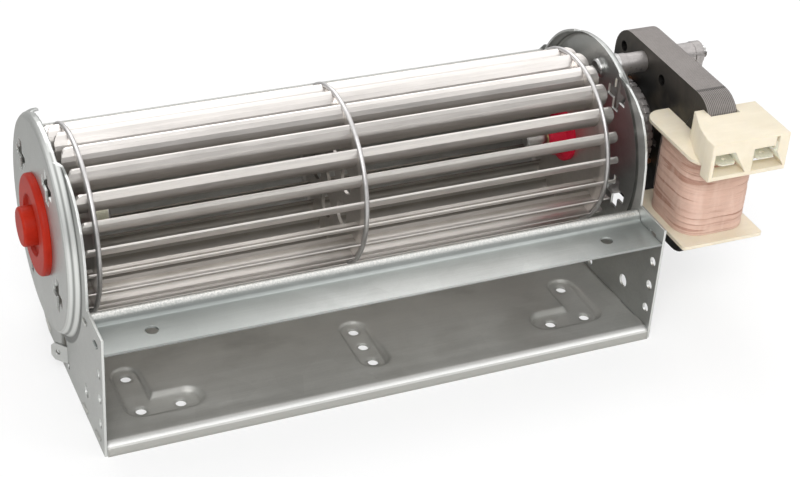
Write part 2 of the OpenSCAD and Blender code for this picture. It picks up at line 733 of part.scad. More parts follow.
// Connector: an open-fronted housing that stands on the upper flange and laps over its front edge
plug_reach = coil_reach + bobbin_d / 2 + plug_overhang;
plug_rear = -38.7;
plug_low = 12.8;
plug_lap = -coil_reach - bobbin_d / 2 - fold_clear;
plug_x0 = stack_x - plug_w / 2;
terminal_xs = [stack_x + 0.6 - terminal_pitch / 2, stack_x + 0.6 + terminal_pitch / 2];
pocket_left = 6.4;
pocket_right = 5.6;
pocket_right_top = 0.9;
pocket_low = 14.4;
pocket_top = 22.4;
pocket_rear = -46;
terminal_rear = leg_outer_y - 0.6;
terminal_z = flange_z + 0.45;

// Space of one pocket over a terminal at x, from y0 to y1 and from z0 upwards: its right side leans inwards
module pocket(x, y0, y1, z0) {
    lean = (pocket_right - pocket_right_top) / (pocket_top - pocket_low);
    translate([x, y1, 0]) rotate([90, 0, 0]) linear_extrude(y1 - y0) polygon([[-pocket_left, z0],
        [pocket_right - lean * (z0 - pocket_low), z0], [pocket_right_top, pocket_top], [-pocket_left, pocket_top]]);
}

module plug_block(y0, y1, z0, z1) {
    translate([plug_x0, y0, z0]) cube([plug_w, y1 - y0, z1 - z0]);
}

module connector_housing() {
    taper = 5.6;
    color(cream) at_axis() difference() {
        union() {
            difference() {
                plug_block(-plug_reach, plug_rear, flange_z + 0.02, plug_top);
                translate([0, 0, flange_z - 1]) linear_extrude(plug_top) polygon([[plug_x0 - 1, plug_rear + 1],
                    [plug_x0 + taper, plug_rear + 1], [plug_x0 + taper, plug_rear - 1], [plug_x0 + 1.6, plug_rear - 10],
                    [plug_x0, plug_rear - 17], [plug_x0 - 1, plug_rear - 17]]);
            }
            plug_block(-plug_reach, plug_lap, plug_low, flange_z + 0.1);
        }
        for (x = terminal_xs) {
            pocket(x, -plug_reach - 1, pocket_rear, terminal_z);
            pocket(x, -plug_reach - 1, plug_lap, pocket_low);
            translate([x - blade_terminal_w / 2 - press_clear, terminal_rear, terminal_z - press_clear])
                mirror([0, 1, 0]) cube([blade_terminal_w + 2 * press_clear, 4, blade_terminal_t + 2 * press_clear]);
        }
        translate([stack_x0 - fold_clear, leg_outer_y - fold_clear, flange_z - 1])
            cube([stack_t + 2 * fold_clear, leg_w, plug_top]);
        translate([stack_x + plug_w / 2 - 5, -plug_reach - 1, pocket_top - 2.2]) cube([0.9, 5, 5.4]);
    }
}

// Two flat terminal blades with a locking hole near each tip
module terminals() {
    tip_y = -plug_reach + 1.6;
    color(steel) at_axis() for (x = terminal_xs) translate([x, 0, terminal_z])
        difference() {
            linear_extrude(blade_terminal_t) polygon([[-blade_terminal_w / 2, terminal_rear], [-blade_terminal_w / 2, tip_y + 1.2],
                [-blade_terminal_w / 2 + 1.1, tip_y], [blade_terminal_w / 2 - 1.1, tip_y],
                [blade_terminal_w / 2, tip_y + 1.2], [blade_terminal_w / 2, terminal_rear]]);
            translate([0, tip_y + 3, -1]) cylinder(h = 3, r = 0.85);
        }
}

// Bearing brackets
// One bracket, with the strap's outer face at x = 0 and the stack at x = depth
module bracket(depth, bearing_x, leg_d) {
    rim_x0 = depth - 4;
    rim_x1 = depth - 2.3;
    wall = 1.6;
    strap_w = leg_d - 0.6;
    window_count = 12;
    groove_count = 36;
    groove_w = 1;
    groove_depth = 0.7;
    window_w = 1.8;
    difference() {
        union() {
            along_x(0, strap_t) union() {
                square([strap_w, 2 * screw_reach], center = true);
                for (p = screw_holes) translate([p[0], p[1]]) circle(d = leg_d + 0.4);
                circle(r = 9.5);
            }
            for (p = screw_holes) rod(strap_t - 0.5, depth, leg_d / 2, p);
            difference() {
                turned() polygon([[bearing_r + 0.2, -boss_out], [7.2, -boss_out], [8, 0.4], [9.6, 0.6],
                    [bell_r, rim_x0], [bell_r, rim_x1], [bell_r - wall, rim_x1], [bell_r - wall, rim_x0 + 0.5],
                    [8.4, strap_t], [7.2, boss_in], [bearing_r + 0.2, boss_in]]);
                for (i = [0:window_count - 1]) rotate([i * 360 / window_count + 15, 0, 0])
                    translate([1.4, -window_w / 2, bell_r - 6.1]) cube([rim_x0, window_w, 3.4]);
                for (i = [0:groove_count - 1]) rotate([i * 360 / groove_count, 0, 0])
                    translate([rim_x0 - 2, -groove_w / 2, bell_r - groove_depth]) cube([depth, groove_w, 2]);
            }
        }
        turned() polygon(sweep([0, bearing_x], bearing_r + press_clear, -90, 90, 24));
        rod(bearing_x, boss_in + 1, bearing_r - 0.1);
        rod(-boss_out - 1, boss_in + 1, shaft_r + 1);
        for (p = screw_holes) rod(-1, depth + 1, screw_d / 2 + fold_clear, p);
    }
}

module inner_bracket() {
    color(zinc) at_axis() translate([inner_strap_x, 0, 0])
        bracket(stack_x0 - inner_strap_x, inner_bearing_x - inner_strap_x, inner_leg_d);
}

module outer_bracket() {
    color(zinc) at_axis() translate([outer_leg_end, 0, 0]) mirror([1, 0, 0])
        bracket(outer_leg_end - stack_x1, outer_leg_end - outer_bearing_x, outer_leg_d);
}

// Spherical sleeve bearing with flat ends
module ball_bearing(x) {
    intersection() {
        translate([x, 0, 0]) difference() {
            sphere(r = bearing_r);
            rod(-bearing_r - 1, bearing_r + 1, shaft_r + shaft_clear);
        }
        rod(x - bearing_half, x + bearing_half, bearing_r + 1);
    }
}

module inner_bearing() {
    color(bronze) at_axis() ball_bearing(inner_bearing_x);
}

module outer_bearing() {
    color(bronze) at_axis() ball_bearing(outer_bearing_x);
}

// Spring washers that hold the bearings in their seats
module bearing_clips() {
    grip_r = sqrt(bearing_r * bearing_r - 2.6 * 2.6) + 0.05;
    color(steel) at_axis() union() {
        tube(inner_bearing_x + 2.6, inner_bearing_x + 3, bearing_r - 0.1 - press_clear, grip_r);
        tube(outer_bearing_x - 3, outer_bearing_x - 2.6, bearing_r - 0.1 - press_clear, grip_r);
    }
}

module mounting_spacers() {
    color(steel) at_axis() for (p = screw_holes)
        tube(dish_out + 0.02, inner_strap_x - 0.02, 4, screw_d / 2 + fold_clear, p);
}

// Long screws: the heads lie inside the right plate, the threads end past the outer bracket
module motor_screws() {
    head_h = 1.8;
    head_r = 3.4;
    driver_w = 4.4;
    x0 = dish_in - 0.02;
    x1 = outer_leg_end + 2.6;
    color(steel) at_axis() for (p = screw_holes) difference() {
        translate([0, p[0], p[1]]) turned() polygon([[0, x0 - head_h], [head_r - 0.9, x0 - head_h],
            [head_r, x0 - head_h + 0.9], [head_r, x0], [screw_d / 2, x0], [screw_d / 2, x1 - 0.5],
            [screw_d / 2 - 0.5, x1], [0, x1]]);
        translate([x0 - head_h - 1, p[0] - driver_w / 2, p[1] - 0.4]) cube([1.9, driver_w, 0.8]);
    }
}

left_end_plate();
right_end_plate();
scroll_sheet();
tongue_sheet();
bearing_bush();
stub_bearing();
impeller_blades();
left_disc();
middle_disc();
right_disc();
left_ring();
middle_ring();
right_ring();
stub_collar();
stub_shaft();
rubber_hub();
hub_sleeve();
motor_shaft();
rotor_core();
rotor_cage();
thrust_washers();
stator_stack();
coil_core();
shading_rings();
bobbin();
winding();
connector_housing();
terminals();
inner_bracket();
outer_bracket();
inner_bearing();
outer_bearing();
bearing_clips();
mounting_spacers();
motor_screws();
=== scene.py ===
"""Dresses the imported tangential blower: finishes, small fittings, studio and camera."""

import logging
import math
import random
from dataclasses import dataclass
from enum import Enum
from functools import cache
from typing import Callable, Dict, Optional, Sequence, Tuple, Union

import bpy
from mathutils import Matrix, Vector


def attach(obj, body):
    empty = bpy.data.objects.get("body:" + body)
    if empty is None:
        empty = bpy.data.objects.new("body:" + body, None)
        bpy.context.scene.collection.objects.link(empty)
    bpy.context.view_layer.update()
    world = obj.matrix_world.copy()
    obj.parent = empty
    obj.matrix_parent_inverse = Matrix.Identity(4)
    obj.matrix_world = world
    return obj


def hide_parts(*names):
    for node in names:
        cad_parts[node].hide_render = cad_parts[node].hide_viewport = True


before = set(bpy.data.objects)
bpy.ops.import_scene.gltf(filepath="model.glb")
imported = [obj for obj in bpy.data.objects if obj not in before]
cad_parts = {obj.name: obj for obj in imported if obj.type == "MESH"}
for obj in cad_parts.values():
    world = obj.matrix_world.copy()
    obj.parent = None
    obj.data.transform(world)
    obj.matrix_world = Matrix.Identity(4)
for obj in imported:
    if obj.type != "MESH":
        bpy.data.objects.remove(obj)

LOG = logging.getLogger("blower")
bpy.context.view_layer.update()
MM = 0.001
# The place of the rotor's axis, which runs along X
AXIS_Y = 0.03245
AXIS_Z = 0.0474

Colour = Tuple[float, float, float]
Point = Tuple[float, float, float]


# Shader graph


class Signal:
    """One output of the shader graph, with arithmetic on its values."""

    def __init__(self, graph: "Graph", socket: bpy.types.NodeSocket) -> None:
        """Wraps an output socket of a graph."""
        self.graph = graph
        self.socket = socket

    def _maths(self, operation: str, first: "Value", second: "Value") -> "Signal":
        """Adds one Math node and gives its result."""
        return self.graph.node("ShaderNodeMath", {"operation": operation}, {0: first, 1: second})

    def __add__(self, other: "Value") -> "Signal":
        """Adds a value."""
        return self._maths("ADD", self, other)

    __radd__ = __add__

    def __sub__(self, other: "Value") -> "Signal":
        """Takes a value away."""
        return self._maths("SUBTRACT", self, other)

    def __rsub__(self, other: "Value") -> "Signal":
        """Takes this value from another."""
        return self._maths("SUBTRACT", other, self)

    def __mul__(self, other: "Value") -> "Signal":
        """Multiplies by a value."""
        return self._maths("MULTIPLY", self, other)

    __rmul__ = __mul__

    def __truediv__(self, other: "Value") -> "Signal":
        """Divides by a value."""
        return self._maths("DIVIDE", self, other)

    def power(self, exponent: float) -> "Signal":
        """Raises the value to a power."""
        return self._maths("POWER", self, exponent)

    def larger(self, other: "Value") -> "Signal":
        """Gives the larger of two values."""
        return self._maths("MAXIMUM", self, other)

    def wrapped(self) -> "Signal":
        """Keeps the part after the decimal point."""
        return self._maths("FRACT", self, 0.0)

    def absolute(self) -> "Signal":
        """Drops the sign."""
        return self._maths("ABSOLUTE", self, 0.0)

    def above(self, limit: float) -> "Signal":
        """Gives 1 where the value is over a limit."""
        return self._maths("GREATER_THAN", self, limit)

    def smooth(self, low: float, high: float) -> "Signal":
        """Eases from 0 at the low value to 1 at the high one; the low one may be the larger."""
        return self.graph.node("ShaderNodeMapRange", {"interpolation_type": "SMOOTHSTEP"},
                               {"Value": self, "From Min": low, "From Max": high})


Value = Union[Signal, float, int, Colour, Sequence[float]]


def tint(colour: Colour, factor: float) -> Colour:
    """Scales a colour and keeps it under 1."""
    return tuple(min(1.0, c * factor) for c in colour)


def diagonal(first: Signal, second: Signal) -> Signal:
    """Gives the distance that two steps at right angles make."""
    return (first * first + second * second).power(0.5)


class Graph:
    """The nodes of a material or of the sky, built by expressions."""

    def __init__(self, name: str, tree: Optional[bpy.types.NodeTree] = None) -> None:
        """Starts an empty graph.

        Args:
            name: The name of the material that is made.
            tree: An existing tree to fill; then no material is made.
        """
        if tree is not None:
            self.tree = tree
            self.tree.nodes.clear()
            return
        self.material = bpy.data.materials.new(name)
        self.material.use_nodes = True
        self.tree = self.material.node_tree
        self.tree.nodes.clear()
        self.shader = self.tree.nodes.new("ShaderNodeBsdfPrincipled")
        output = self.tree.nodes.new("ShaderNodeOutputMaterial")
        self.tree.links.new(self.shader.outputs["BSDF"], output.inputs["Surface"])

    def node(self, kind: str, settings: Optional[Dict[str, object]] = None,
             sockets: Optional[Dict[Union[str, int], Value]] = None, output: Union[str, int] = 0) -> Signal:
        """Adds a node.

        Args:
            kind: The node's type.
            settings: Properties, set before the sockets; a "stops" entry fills a colour ramp.
            sockets: Values or links, by socket name or index.
            output: The output that is wanted.

        Returns:
            The chosen output.
        """
        made = self.tree.nodes.new(kind)
        for key, setting in (settings or {}).items():
            if key == "stops":
                self._fill_ramp(made.color_ramp, setting)
            else:
                setattr(made, key, setting)
        for key, value in (sockets or {}).items():
            self.feed(made.inputs[key], value)
        return Signal(self, made.outputs[output])

    @staticmethod
    def _fill_ramp(ramp: bpy.types.ColorRamp, stops: Sequence[Tuple[float, Colour]]) -> None:
        """Gives a ramp its stops.

        Args:
            ramp: The colour ramp.
            stops: Position and colour of each stop.
        """
        while len(ramp.elements) < len(stops):
            ramp.elements.new(0.5)
        for element, (place, colour) in zip(ramp.elements, stops):
            element.position = place
            element.color = (*colour, 1.0)

    def feed(self, socket: bpy.types.NodeSocket, value: Value) -> None:
        """Links a signal to a socket, or sets the socket's own value.

        Args:
            socket: The input.
            value: A signal or a constant.
        """
        if isinstance(value, Signal):
            self.tree.links.new(value.socket, socket)
        elif socket.type == "RGBA":
            socket.default_value = (*value, 1.0)
        else:
            socket.default_value = value

    def place(self, stretch: Point = (1.0, 1.0, 1.0), turn: Point = (0.0, 0.0, 0.0)) -> Signal:
        """Gives the object's own coordinates.

        Args:
            stretch: Scale along each axis.
            turn: Rotation of the pattern, in radians.

        Returns:
            The coordinate vector.
        """
        own = self.node("ShaderNodeTexCoord", output="Object")
        if stretch == (1.0, 1.0, 1.0) and turn == (0.0, 0.0, 0.0):
            return own
        return self.node("ShaderNodeMapping", None, {"Vector": own, "Rotation": turn, "Scale": stretch})

    def split(self, vector: Signal) -> Tuple[Signal, Signal, Signal]:
        """Splits a vector.

        Args:
            vector: The vector.

        Returns:
            Its X, Y and Z.
        """
        made = self.tree.nodes.new("ShaderNodeSeparateXYZ")
        self.feed(made.inputs[0], vector)
        return tuple(Signal(self, made.outputs[i]) for i in range(3))

    def axes(self) -> Tuple[Signal, Signal, Signal]:
        """Splits the object's coordinates into X, Y and Z."""
        return self.split(self.place())

    def facing(self) -> Tuple[Signal, Signal, Signal]:
        """Splits the surface's own normal into X, Y and Z."""
        return self.split(self.node("ShaderNodeTexCoord", output="Normal"))

    def soft_edges(self, radius: float) -> Signal:
        """Gives a normal that rounds the sharp edges, by a radius in metres."""
        return self.node("ShaderNodeBevel", {"samples": 4}, {"Radius": radius})

    def noise(self, where: Signal, scale: float, detail: float = 3.0, rough: float = 0.5,
              bend: float = 0.0) -> Signal:
        """Adds a noise about 0.5; its scale is in cells per metre and its detail in octaves."""
        sockets = {"Vector": where, "Scale": scale, "Detail": detail, "Roughness": rough, "Distortion": bend}
        return self.node("ShaderNodeTexNoise", None, sockets)

    def cells(self, where: Signal, scale: float) -> Signal:
        """Adds a pattern of cells that each have one random colour."""
        return self.node("ShaderNodeTexVoronoi", None, {"Vector": where, "Scale": scale}, "Color")

    def ramp(self, value: Value, low: Colour, high: Colour, top: float = 0.7) -> Signal:
        """Turns a value into a colour: the low one at 0.3 and below, the high one from the top on."""
        return self.node("ShaderNodeValToRGB", {"stops": [(0.3, low), (top, high)]}, {"Fac": value})

    def tones(self, value: Value, colour: Colour, dark: float, light: float, top: float = 0.7) -> Signal:
        """Shades one colour between a darker and a lighter tone, which are factors of it."""
        return self.ramp(value, tint(colour, dark), tint(colour, light), top)

    def blend(self, low: Value, high: Value, share: Value, mode: str = "MIX") -> Signal:
        """Mixes two colours.

        Args:
            low: The colour at share 0.
            high: The colour at share 1.
            share: The mixing share.
            mode: The blend mode.

        Returns:
            The mixed colour.
        """
        made = self.tree.nodes.new("ShaderNodeMix")
        made.data_type = "RGBA"
        made.blend_type = mode
        self.feed(made.inputs[0], share)
        self.feed(made.inputs[6], low)
        self.feed(made.inputs[7], high)
        return Signal(self, made.outputs[2])

    def bump(self, height: Signal, distance: float, strength: float = 1.0,
             under: Optional[Signal] = None) -> Signal:
        """Turns a height into a normal.

        Args:
            height: The height signal.
            distance: Height of a full step, in metres.
            strength: Share of the effect.
            under: A normal to start from.

        Returns:
            The bent normal.
        """
        sockets = {"Height": height, "Distance": distance, "Strength": strength}
        if under is not None:
            sockets["Normal"] = under
        return self.node("ShaderNodeBump", None, sockets)

    def end_sky(self, light: Signal) -> None:
        """Ends a sky with its light."""
        output = self.tree.nodes.new("ShaderNodeOutputWorld")
        self.tree.links.new(light.socket, output.inputs["Surface"])

    def dress(self, **sockets: Value) -> bpy.types.Material:
        """Feeds the shader's sockets, whose names have underscores for spaces.

        Args:
            sockets: Values or links.

        Returns:
            The finished material.
        """
        for name, value in sockets.items():
            self.feed(self.shader.inputs[name.replace("_", " ")], value)
        return self.material


# Finishes


@dataclass(frozen=True)
class Galvanised:
    """Zinc-coated sheet: satin grey with a faint spangle, rolling streaks and handling marks."""

    name: str = "galvanised_sheet"
    colour: Colour = (0.385, 0.395, 0.385)
    roughness: float = 0.27
    metallic: float = 0.84
    softness: float = 0.00035
    spangle: float = 130.0
    dulled: Colour = (0.27, 0.272, 0.262)
    scratched: Colour = (0.62, 0.63, 0.62)

    def shade(self, g: Graph, colour: Signal, speck: Signal) -> Signal:
        """Changes the colour from place to place; the plain sheet stays as it is."""
        return colour

    def make(self) -> bpy.types.Material:
        """Builds the material.

        Returns:
            The finished material.
        """
        g = Graph(self.name)
        crystals = g.node("ShaderNodeSeparateColor", None, {0: g.cells(g.place((1, 1, 1.3)), self.spangle)})
        cloud = g.noise(g.place(), 38.0, 4.0, 0.6)
        streak = g.noise(g.place((1.0, 24.0, 24.0)), 48.0, 4.0, 0.65)
        speck = g.noise(g.place(), 1500.0, 3.0, 0.7)
        shade = crystals * 0.10 + cloud * 0.42 + streak * 0.30 + speck * 0.18
        tone = g.tones(shade, self.colour, 0.84, 1.13)
        dull = g.noise(g.place(), 210.0, 5.0, 0.7).smooth(0.60, 0.80)
        scratch = g.noise(g.place((1.0, 40.0, 3.0), (0.2, 0.5, 0.3)), 90.0, 2.0, 0.4).smooth(0.70, 0.76)
        colour = g.blend(tone, self.dulled, dull * 0.30)
        colour = self.shade(g, g.blend(colour, self.scratched, scratch * 0.35), speck)
        rough = self.roughness + crystals * 0.03 + cloud * 0.14 + dull * 0.08
        rolled = g.bump(streak, 0.000012, 0.4, g.soft_edges(self.softness))
        normal = g.bump(speck, 0.000010, 0.5, rolled)
        return g.dress(Base_Color=colour, Roughness=rough, Metallic=self.metallic, Normal=normal)


@dataclass(frozen=True)
class EndPlate(Galvanised):
    """A pressed end plate: a painted highlight on the steep wall of its dish, and painted shade at the foot
    of the wall and on a line round it.
    """

    name: str = "end_plate_zinc"
    colour: Colour = (0.470, 0.478, 0.464)
    foot: float = 0.0365
    seam: float = 0.0941
    painted_wall_highlight: Colour = (0.80, 0.815, 0.795)
    painted_crease_shade: Colour = (0.20, 0.205, 0.195)
    painted_groove_shade: Colour = (0.110, 0.115, 0.108)

    def shade(self, g: Graph, colour: Signal, speck: Signal) -> Signal:
        """Paints a highlight on the dish's wall, and paints shade on a line round it and in the groove at
        its foot.

        Args:
            g: The material's graph.
            colour: The sheet's colour so far.
            speck: A fine noise, which is not used here.

        Returns:
            The colour.
        """
        x, y, z = g.axes()
        level, across, _ = g.facing()
        reach = diagonal(y - AXIS_Y, z - AXIS_Z)
        # painted shade in the groove at the foot of the dish's wall
        groove = (reach - self.foot).absolute().smooth(0.0013, 0.0006)
        groove = groove * (1.0 - across.absolute().smooth(0.5, 0.8))
        # painted highlight on the dish's steep wall, chosen by its normal, and a thin line of painted shade
        # round it
        wall_highlight = level.absolute().smooth(0.93, 0.60) * across.smooth(-0.10, -0.50)
        line = (x.absolute() - self.seam).absolute().smooth(0.00060, 0.00005) * wall_highlight
        line = line * reach.smooth(self.foot, self.foot - 0.0004)
        colour = g.blend(colour, self.painted_wall_highlight, wall_highlight * 0.80)
        colour = g.blend(colour, self.painted_crease_shade, line * 0.80)
        return g.blend(colour, self.painted_groove_shade, groove * 0.90)


@dataclass(frozen=True)
class TongueSheet(Galvanised):
    """The outlet's upper wall: a speckled painted highlight on the hem, a teal-grey band of painted shade
    before it, painted shade at both ends and a pale front.
    """

    name: str = "tongue_sheet_zinc"
    colour: Colour = (0.515, 0.530, 0.518)
    hem: float = -0.0093
    front: float = -0.0205
    middle: float = 0.020
    half_length: float = 0.092
    painted_band_shade: Colour = (0.250, 0.290, 0.280)
    painted_end_shade: Colour = (0.220, 0.238, 0.230)
    painted_hem_highlight: Colour = (0.72, 0.71, 0.68)

    def shade(self, g: Graph, colour: Signal, speck: Signal) -> Signal:
        """Paints a speckled highlight on the hem, and paints shade on the band before it and on the two
        ends.

        Args:
            g: The material's graph.
            colour: The sheet's colour so far.
            speck: A fine noise.

        Returns:
            The colour.
        """
        x, y, _ = g.axes()
        # painted shade on a band before the hem and on both ends, and a speckled painted highlight on the
        # hem
        drift = g.noise(g.place((1.0, 3.0, 3.0)), 30.0, 3.0) * 0.004 - 0.002
        band = (y + drift).smooth(self.front, self.hem - 0.0020)
        crest = y.smooth(self.hem - 0.0008, self.hem + 0.0006)
        ends = (x - self.middle).absolute().smooth(0.015, self.half_length)
        colour = g.blend(colour, self.painted_band_shade, band * 0.36)
        colour = g.blend(colour, self.painted_end_shade, ends * 0.66)
        return g.blend(colour, self.painted_hem_highlight, crest * (0.55 + speck.smooth(0.42, 0.60) * 0.45))


@dataclass(frozen=True)
class ScrollSheet(Galvanised):
    """The scroll and the outlet's floor, which is duller, with painted light on its deeper part and a
    painted highlight on its folded front edge.
    """

    name: str = "scroll_sheet_zinc"
    colour: Colour = (0.500, 0.500, 0.475)
    metallic: float = 0.55
    roughness: float = 0.31
    softness: float = 0.0018
    lip: float = -0.0222
    painted_floor_light: Colour = (0.94, 0.93, 0.88)
    blotted: Colour = (0.30, 0.295, 0.265)
    painted_fold_highlight: Colour = (0.96, 0.96, 0.94)
    fold_front: Colour = (0.47, 0.465, 0.435)

    def shade(self, g: Graph, colour: Signal, speck: Signal) -> Signal:
        """Paints light on the deeper part of the floor, and a highlight on the top of the folded edge.

        Args:
            g: The material's graph.
            colour: The sheet's colour so far.
            speck: A fine noise.

        Returns:
            The colour.
        """
        _, y, z = g.axes()
        _, across, _ = g.facing()
        blot = g.noise(g.place((1.0, 1.6, 1.0)), 26.0, 4.0, 0.55)
        on_floor = z.smooth(0.012, 0.004)
        # painted light on the deeper part of the floor; painted highlight on the top of the folded front
        # edge, with its front face darker
        deep = y.smooth(self.lip, 0.030) * on_floor
        fold = y.smooth(self.lip + 0.0008, self.lip - 0.0006) * on_floor
        colour = g.blend(colour, self.painted_floor_light, deep * 0.72)
        colour = g.blend(colour, self.blotted, blot.smooth(0.50, 0.72) * 0.35)
        folded = g.blend(self.painted_fold_highlight, self.fold_front, across.smooth(-0.55, -0.95))
        return g.blend(colour, folded, fold * (0.75 + speck * 0.25))


@dataclass(frozen=True)
class RolledAluminium:
    """Bright rolled strip, streaked along the rotor; rougher, with painted shade, where it faces the rotor's
    inside and near the blades' roots.
    """

    name: str = "rolled_aluminium"
    colour: Colour = (0.81, 0.770, 0.735)
    metallic: float = 0.88
    inside: Colour = (0.165, 0.145, 0.118)
    grain: float = 38.0
    inside_shade: float = 0.90
    blade_root: Tuple[float, float] = (0.0268, 0.0246)

    def make(self) -> bpy.types.Material:
        """Builds the material.

        Returns:
            The finished material.
        """
        g = Graph(self.name)
        wide = g.noise(g.place((1.0, 16.0, 16.0)), self.grain, 3.0, 0.6)
        fine = g.noise(g.place((1.0, 60.0, 60.0)), self.grain * 1.6, 3.0, 0.7)
        cloud = g.noise(g.place(), 70.0, 4.0, 0.65)
        _, y, z = g.axes()
        _, across, up = g.facing()
        out_y, out_z = y - AXIS_Y, z - AXIS_Z
        reach = diagonal(out_y, out_z)
        inward = (across * out_y + up * out_z) / (reach + 0.0001)
        # painted shade where the blade faces the rotor's inside and near its root; the same mask also raises
        # the roughness
        root = reach.smooth(*self.blade_root)
        dull = inward.smooth(0.16, -0.24) * (0.30 + root * 0.70)
        dull = dull.larger(root * 0.55) * self.inside_shade
        bright = g.tones(wide * 0.5 + fine * 0.3 + cloud * 0.2, self.colour, 0.86, 1.08)
        colour = g.blend(bright, self.inside, dull * (0.75 + cloud * 0.35))
        rough = 0.24 + wide * 0.10 + cloud * 0.12 + dull * 0.12
        normal = g.bump(fine, 0.00001, 0.6, g.bump(wide, 0.00003, 0.5))
        return g.dress(Base_Color=colour, Roughness=rough, Metallic=self.metallic, Normal=normal)


@dataclass(frozen=True)
class BrightSteel:
    """Drawn or turned steel."""

    name: str = "bright_steel"
    colour: Colour = (0.60, 0.595, 0.585)
    roughness: float = 0.22
    metallic: float = 1.0

    def make(self) -> bpy.types.Material:
        """Builds the material.

        Returns:
            The finished material.
        """
        g = Graph(self.name)
        wear = g.noise(g.place(), 420.0, 5.0, 0.7)
        turned = g.noise(g.place((30.0, 1.0, 1.0)), 260.0, 2.0)
        colour = g.tones(wear * 0.6 + turned * 0.4, self.colour, 0.74, 1.0, 0.65)
        rough = self.roughness + wear * 0.16
        normal = g.bump(turned, 0.000012, 0.5, g.bump(wear, 0.00001, 0.4))
        return g.dress(Base_Color=colour, Roughness=rough, Metallic=self.metallic, Normal=normal)


@dataclass(frozen=True)
class DieCast:
    """Grey zinc or aluminium die casting with a fine grain."""

    name: str = "die_cast"
    colour: Colour = (0.44, 0.415, 0.405)
    pitted: Colour = (0.12, 0.11, 0.105)

    def make(self) -> bpy.types.Material:
        """Builds the material.

        Returns:
            The finished material.
        """
        g = Graph(self.name)
        grain = g.noise(g.place(), 1500.0, 4.0, 0.65)
        cloud = g.noise(g.place(), 140.0, 4.0, 0.6)
        pit = g.noise(g.place(), 700.0, 2.0, 0.5).smooth(0.66, 0.72)
        tone = g.tones(grain * 0.4 + cloud * 0.6, self.colour, 0.72, 1.2)
        colour = g.blend(tone, self.pitted, pit * 0.5)
        rough = 0.34 + grain * 0.18
        wavy = g.bump(cloud, 0.0001, 0.3, g.soft_edges(0.0003))
        normal = g.bump(grain - pit * 0.6, 0.00005, 0.7, wavy)
        return g.dress(Base_Color=colour, Roughness=rough, Metallic=0.85, Normal=normal)


@dataclass(frozen=True)
class Laminations:
    """Stacked electrical sheet: dark oxidised faces with painted shade and, towards their top, painted
    light; paler sheared edges; fine lines between sheets; painted shade in the holes.
    """

    name: str = "laminations"
    face: Colour = (0.020, 0.020, 0.019)
    edge: Colour = (0.300, 0.275, 0.262)
    pitch: float = 0.000535
    first: float = 0.1117
    depth: float = 0.60
    joint: float = -0.00095
    hole_y: float = 0.0127
    hole_z: float = 0.0233
    rusted: Colour = (0.105, 0.088, 0.062)
    painted_top_light: Colour = (0.130, 0.115, 0.100)
    between: Colour = (0.045, 0.040, 0.036)
    joint_black_and_hole_shade: Colour = (0.012, 0.011, 0.010)

    def make(self) -> bpy.types.Material:
        """Builds the material.

        Returns:
            The finished material.
        """
        g = Graph(self.name)
        x, y, z = g.axes()
        hole = self._hole(y, z)
        wobble = g.noise(g.place(), 160.0, 2.0) * 0.25
        wave = ((x - self.first) / self.pitch + wobble).wrapped()
        line = (wave - 0.5).absolute().smooth(0.26, 0.46)
        cloud = g.noise(g.place(), 120.0, 5.0, 0.65)
        speck = g.noise(g.place(), 900.0, 3.0, 0.7)
        broad = g.noise(g.place((0.4, 1.0, 1.0)), 55.0, 3.0, 0.6)
        shade = cloud * 0.5 + speck * 0.5
        # faces: dark oxide made darker still by painted shade, with painted light towards their top; edges:
        # paler sheared metal
        flat, _, _ = g.facing()
        is_face = flat.absolute().smooth(0.45, 0.75)
        faces = g.tones(shade, self.face, 0.65, 1.5)
        faces = g.blend(faces, self.rusted, broad.smooth(0.46, 0.70) * 0.50)
        faces = g.blend(faces, self.painted_top_light, z.smooth(0.0655, 0.0765) * (0.25 + cloud * 0.60))
        edges = g.tones(shade, self.edge, 0.80, 1.12)
        edges = g.blend(edges, self.between, line * self.depth)
        # a dark joint line on the edges, and painted shade inside the four holes
        seam = (y - self.joint).absolute().smooth(0.00085, 0.00055) * (0.45 + line * 0.55)
        seam = (seam * (1.0 - is_face)).larger(hole)
        colour = g.blend(g.blend(edges, faces, is_face), self.joint_black_and_hole_shade, seam)
        rough = 0.40 + speck * 0.20 - is_face * 0.06
        grained = g.bump(speck, 0.00003, 0.6, g.soft_edges(0.0002))
        normal = g.bump(1.0 - line, 0.00007, 0.7, grained)
        g.dress(Base_Color=colour, Roughness=rough, Metallic=0.45, Normal=normal)
        return g.dress(Specular_IOR_Level=0.20)

    def _hole(self, y: Signal, z: Signal) -> Signal:
        """Marks the walls of the four free holes, where shade is painted.

        Args:
            y: The place across the motor.
            z: The place over its height.

        Returns:
            1 in and at the holes.
        """
        side_y = (y - AXIS_Y).absolute() - self.hole_y
        side_z = (z - AXIS_Z).absolute() - self.hole_z
        return diagonal(side_y, side_z).smooth(0.00205, 0.00185)


@dataclass(frozen=True)
class Silicone:
    """Red silicone rubber, softly shining."""

    name: str = "red_silicone"
    colour: Colour = (0.385, 0.012, 0.003)

    def make(self) -> bpy.types.Material:
        """Builds the material.

        Returns:
            The finished material.
        """
        g = Graph(self.name)
        cloud = g.noise(g.place(), 120.0, 4.0, 0.6)
        dust = g.noise(g.place(), 1100.0, 3.0, 0.7)
        red, green, blue = self.colour
        pale = (red * 1.12, green * 1.8, blue * 2.0)
        colour = g.ramp(cloud * 0.7 + dust * 0.3, tint(self.colour, 0.82), pale)
        normal = g.bump(dust, 0.00003, 0.6, g.bump(cloud, 0.00008, 0.4, g.soft_edges(0.0004)))
        g.dress(Base_Color=colour, Roughness=0.34 + dust * 0.2, Normal=normal, Specular_IOR_Level=0.16)
        return g.dress(Subsurface_Weight=0.06, Subsurface_Radius=(0.004, 0.001, 0.001))


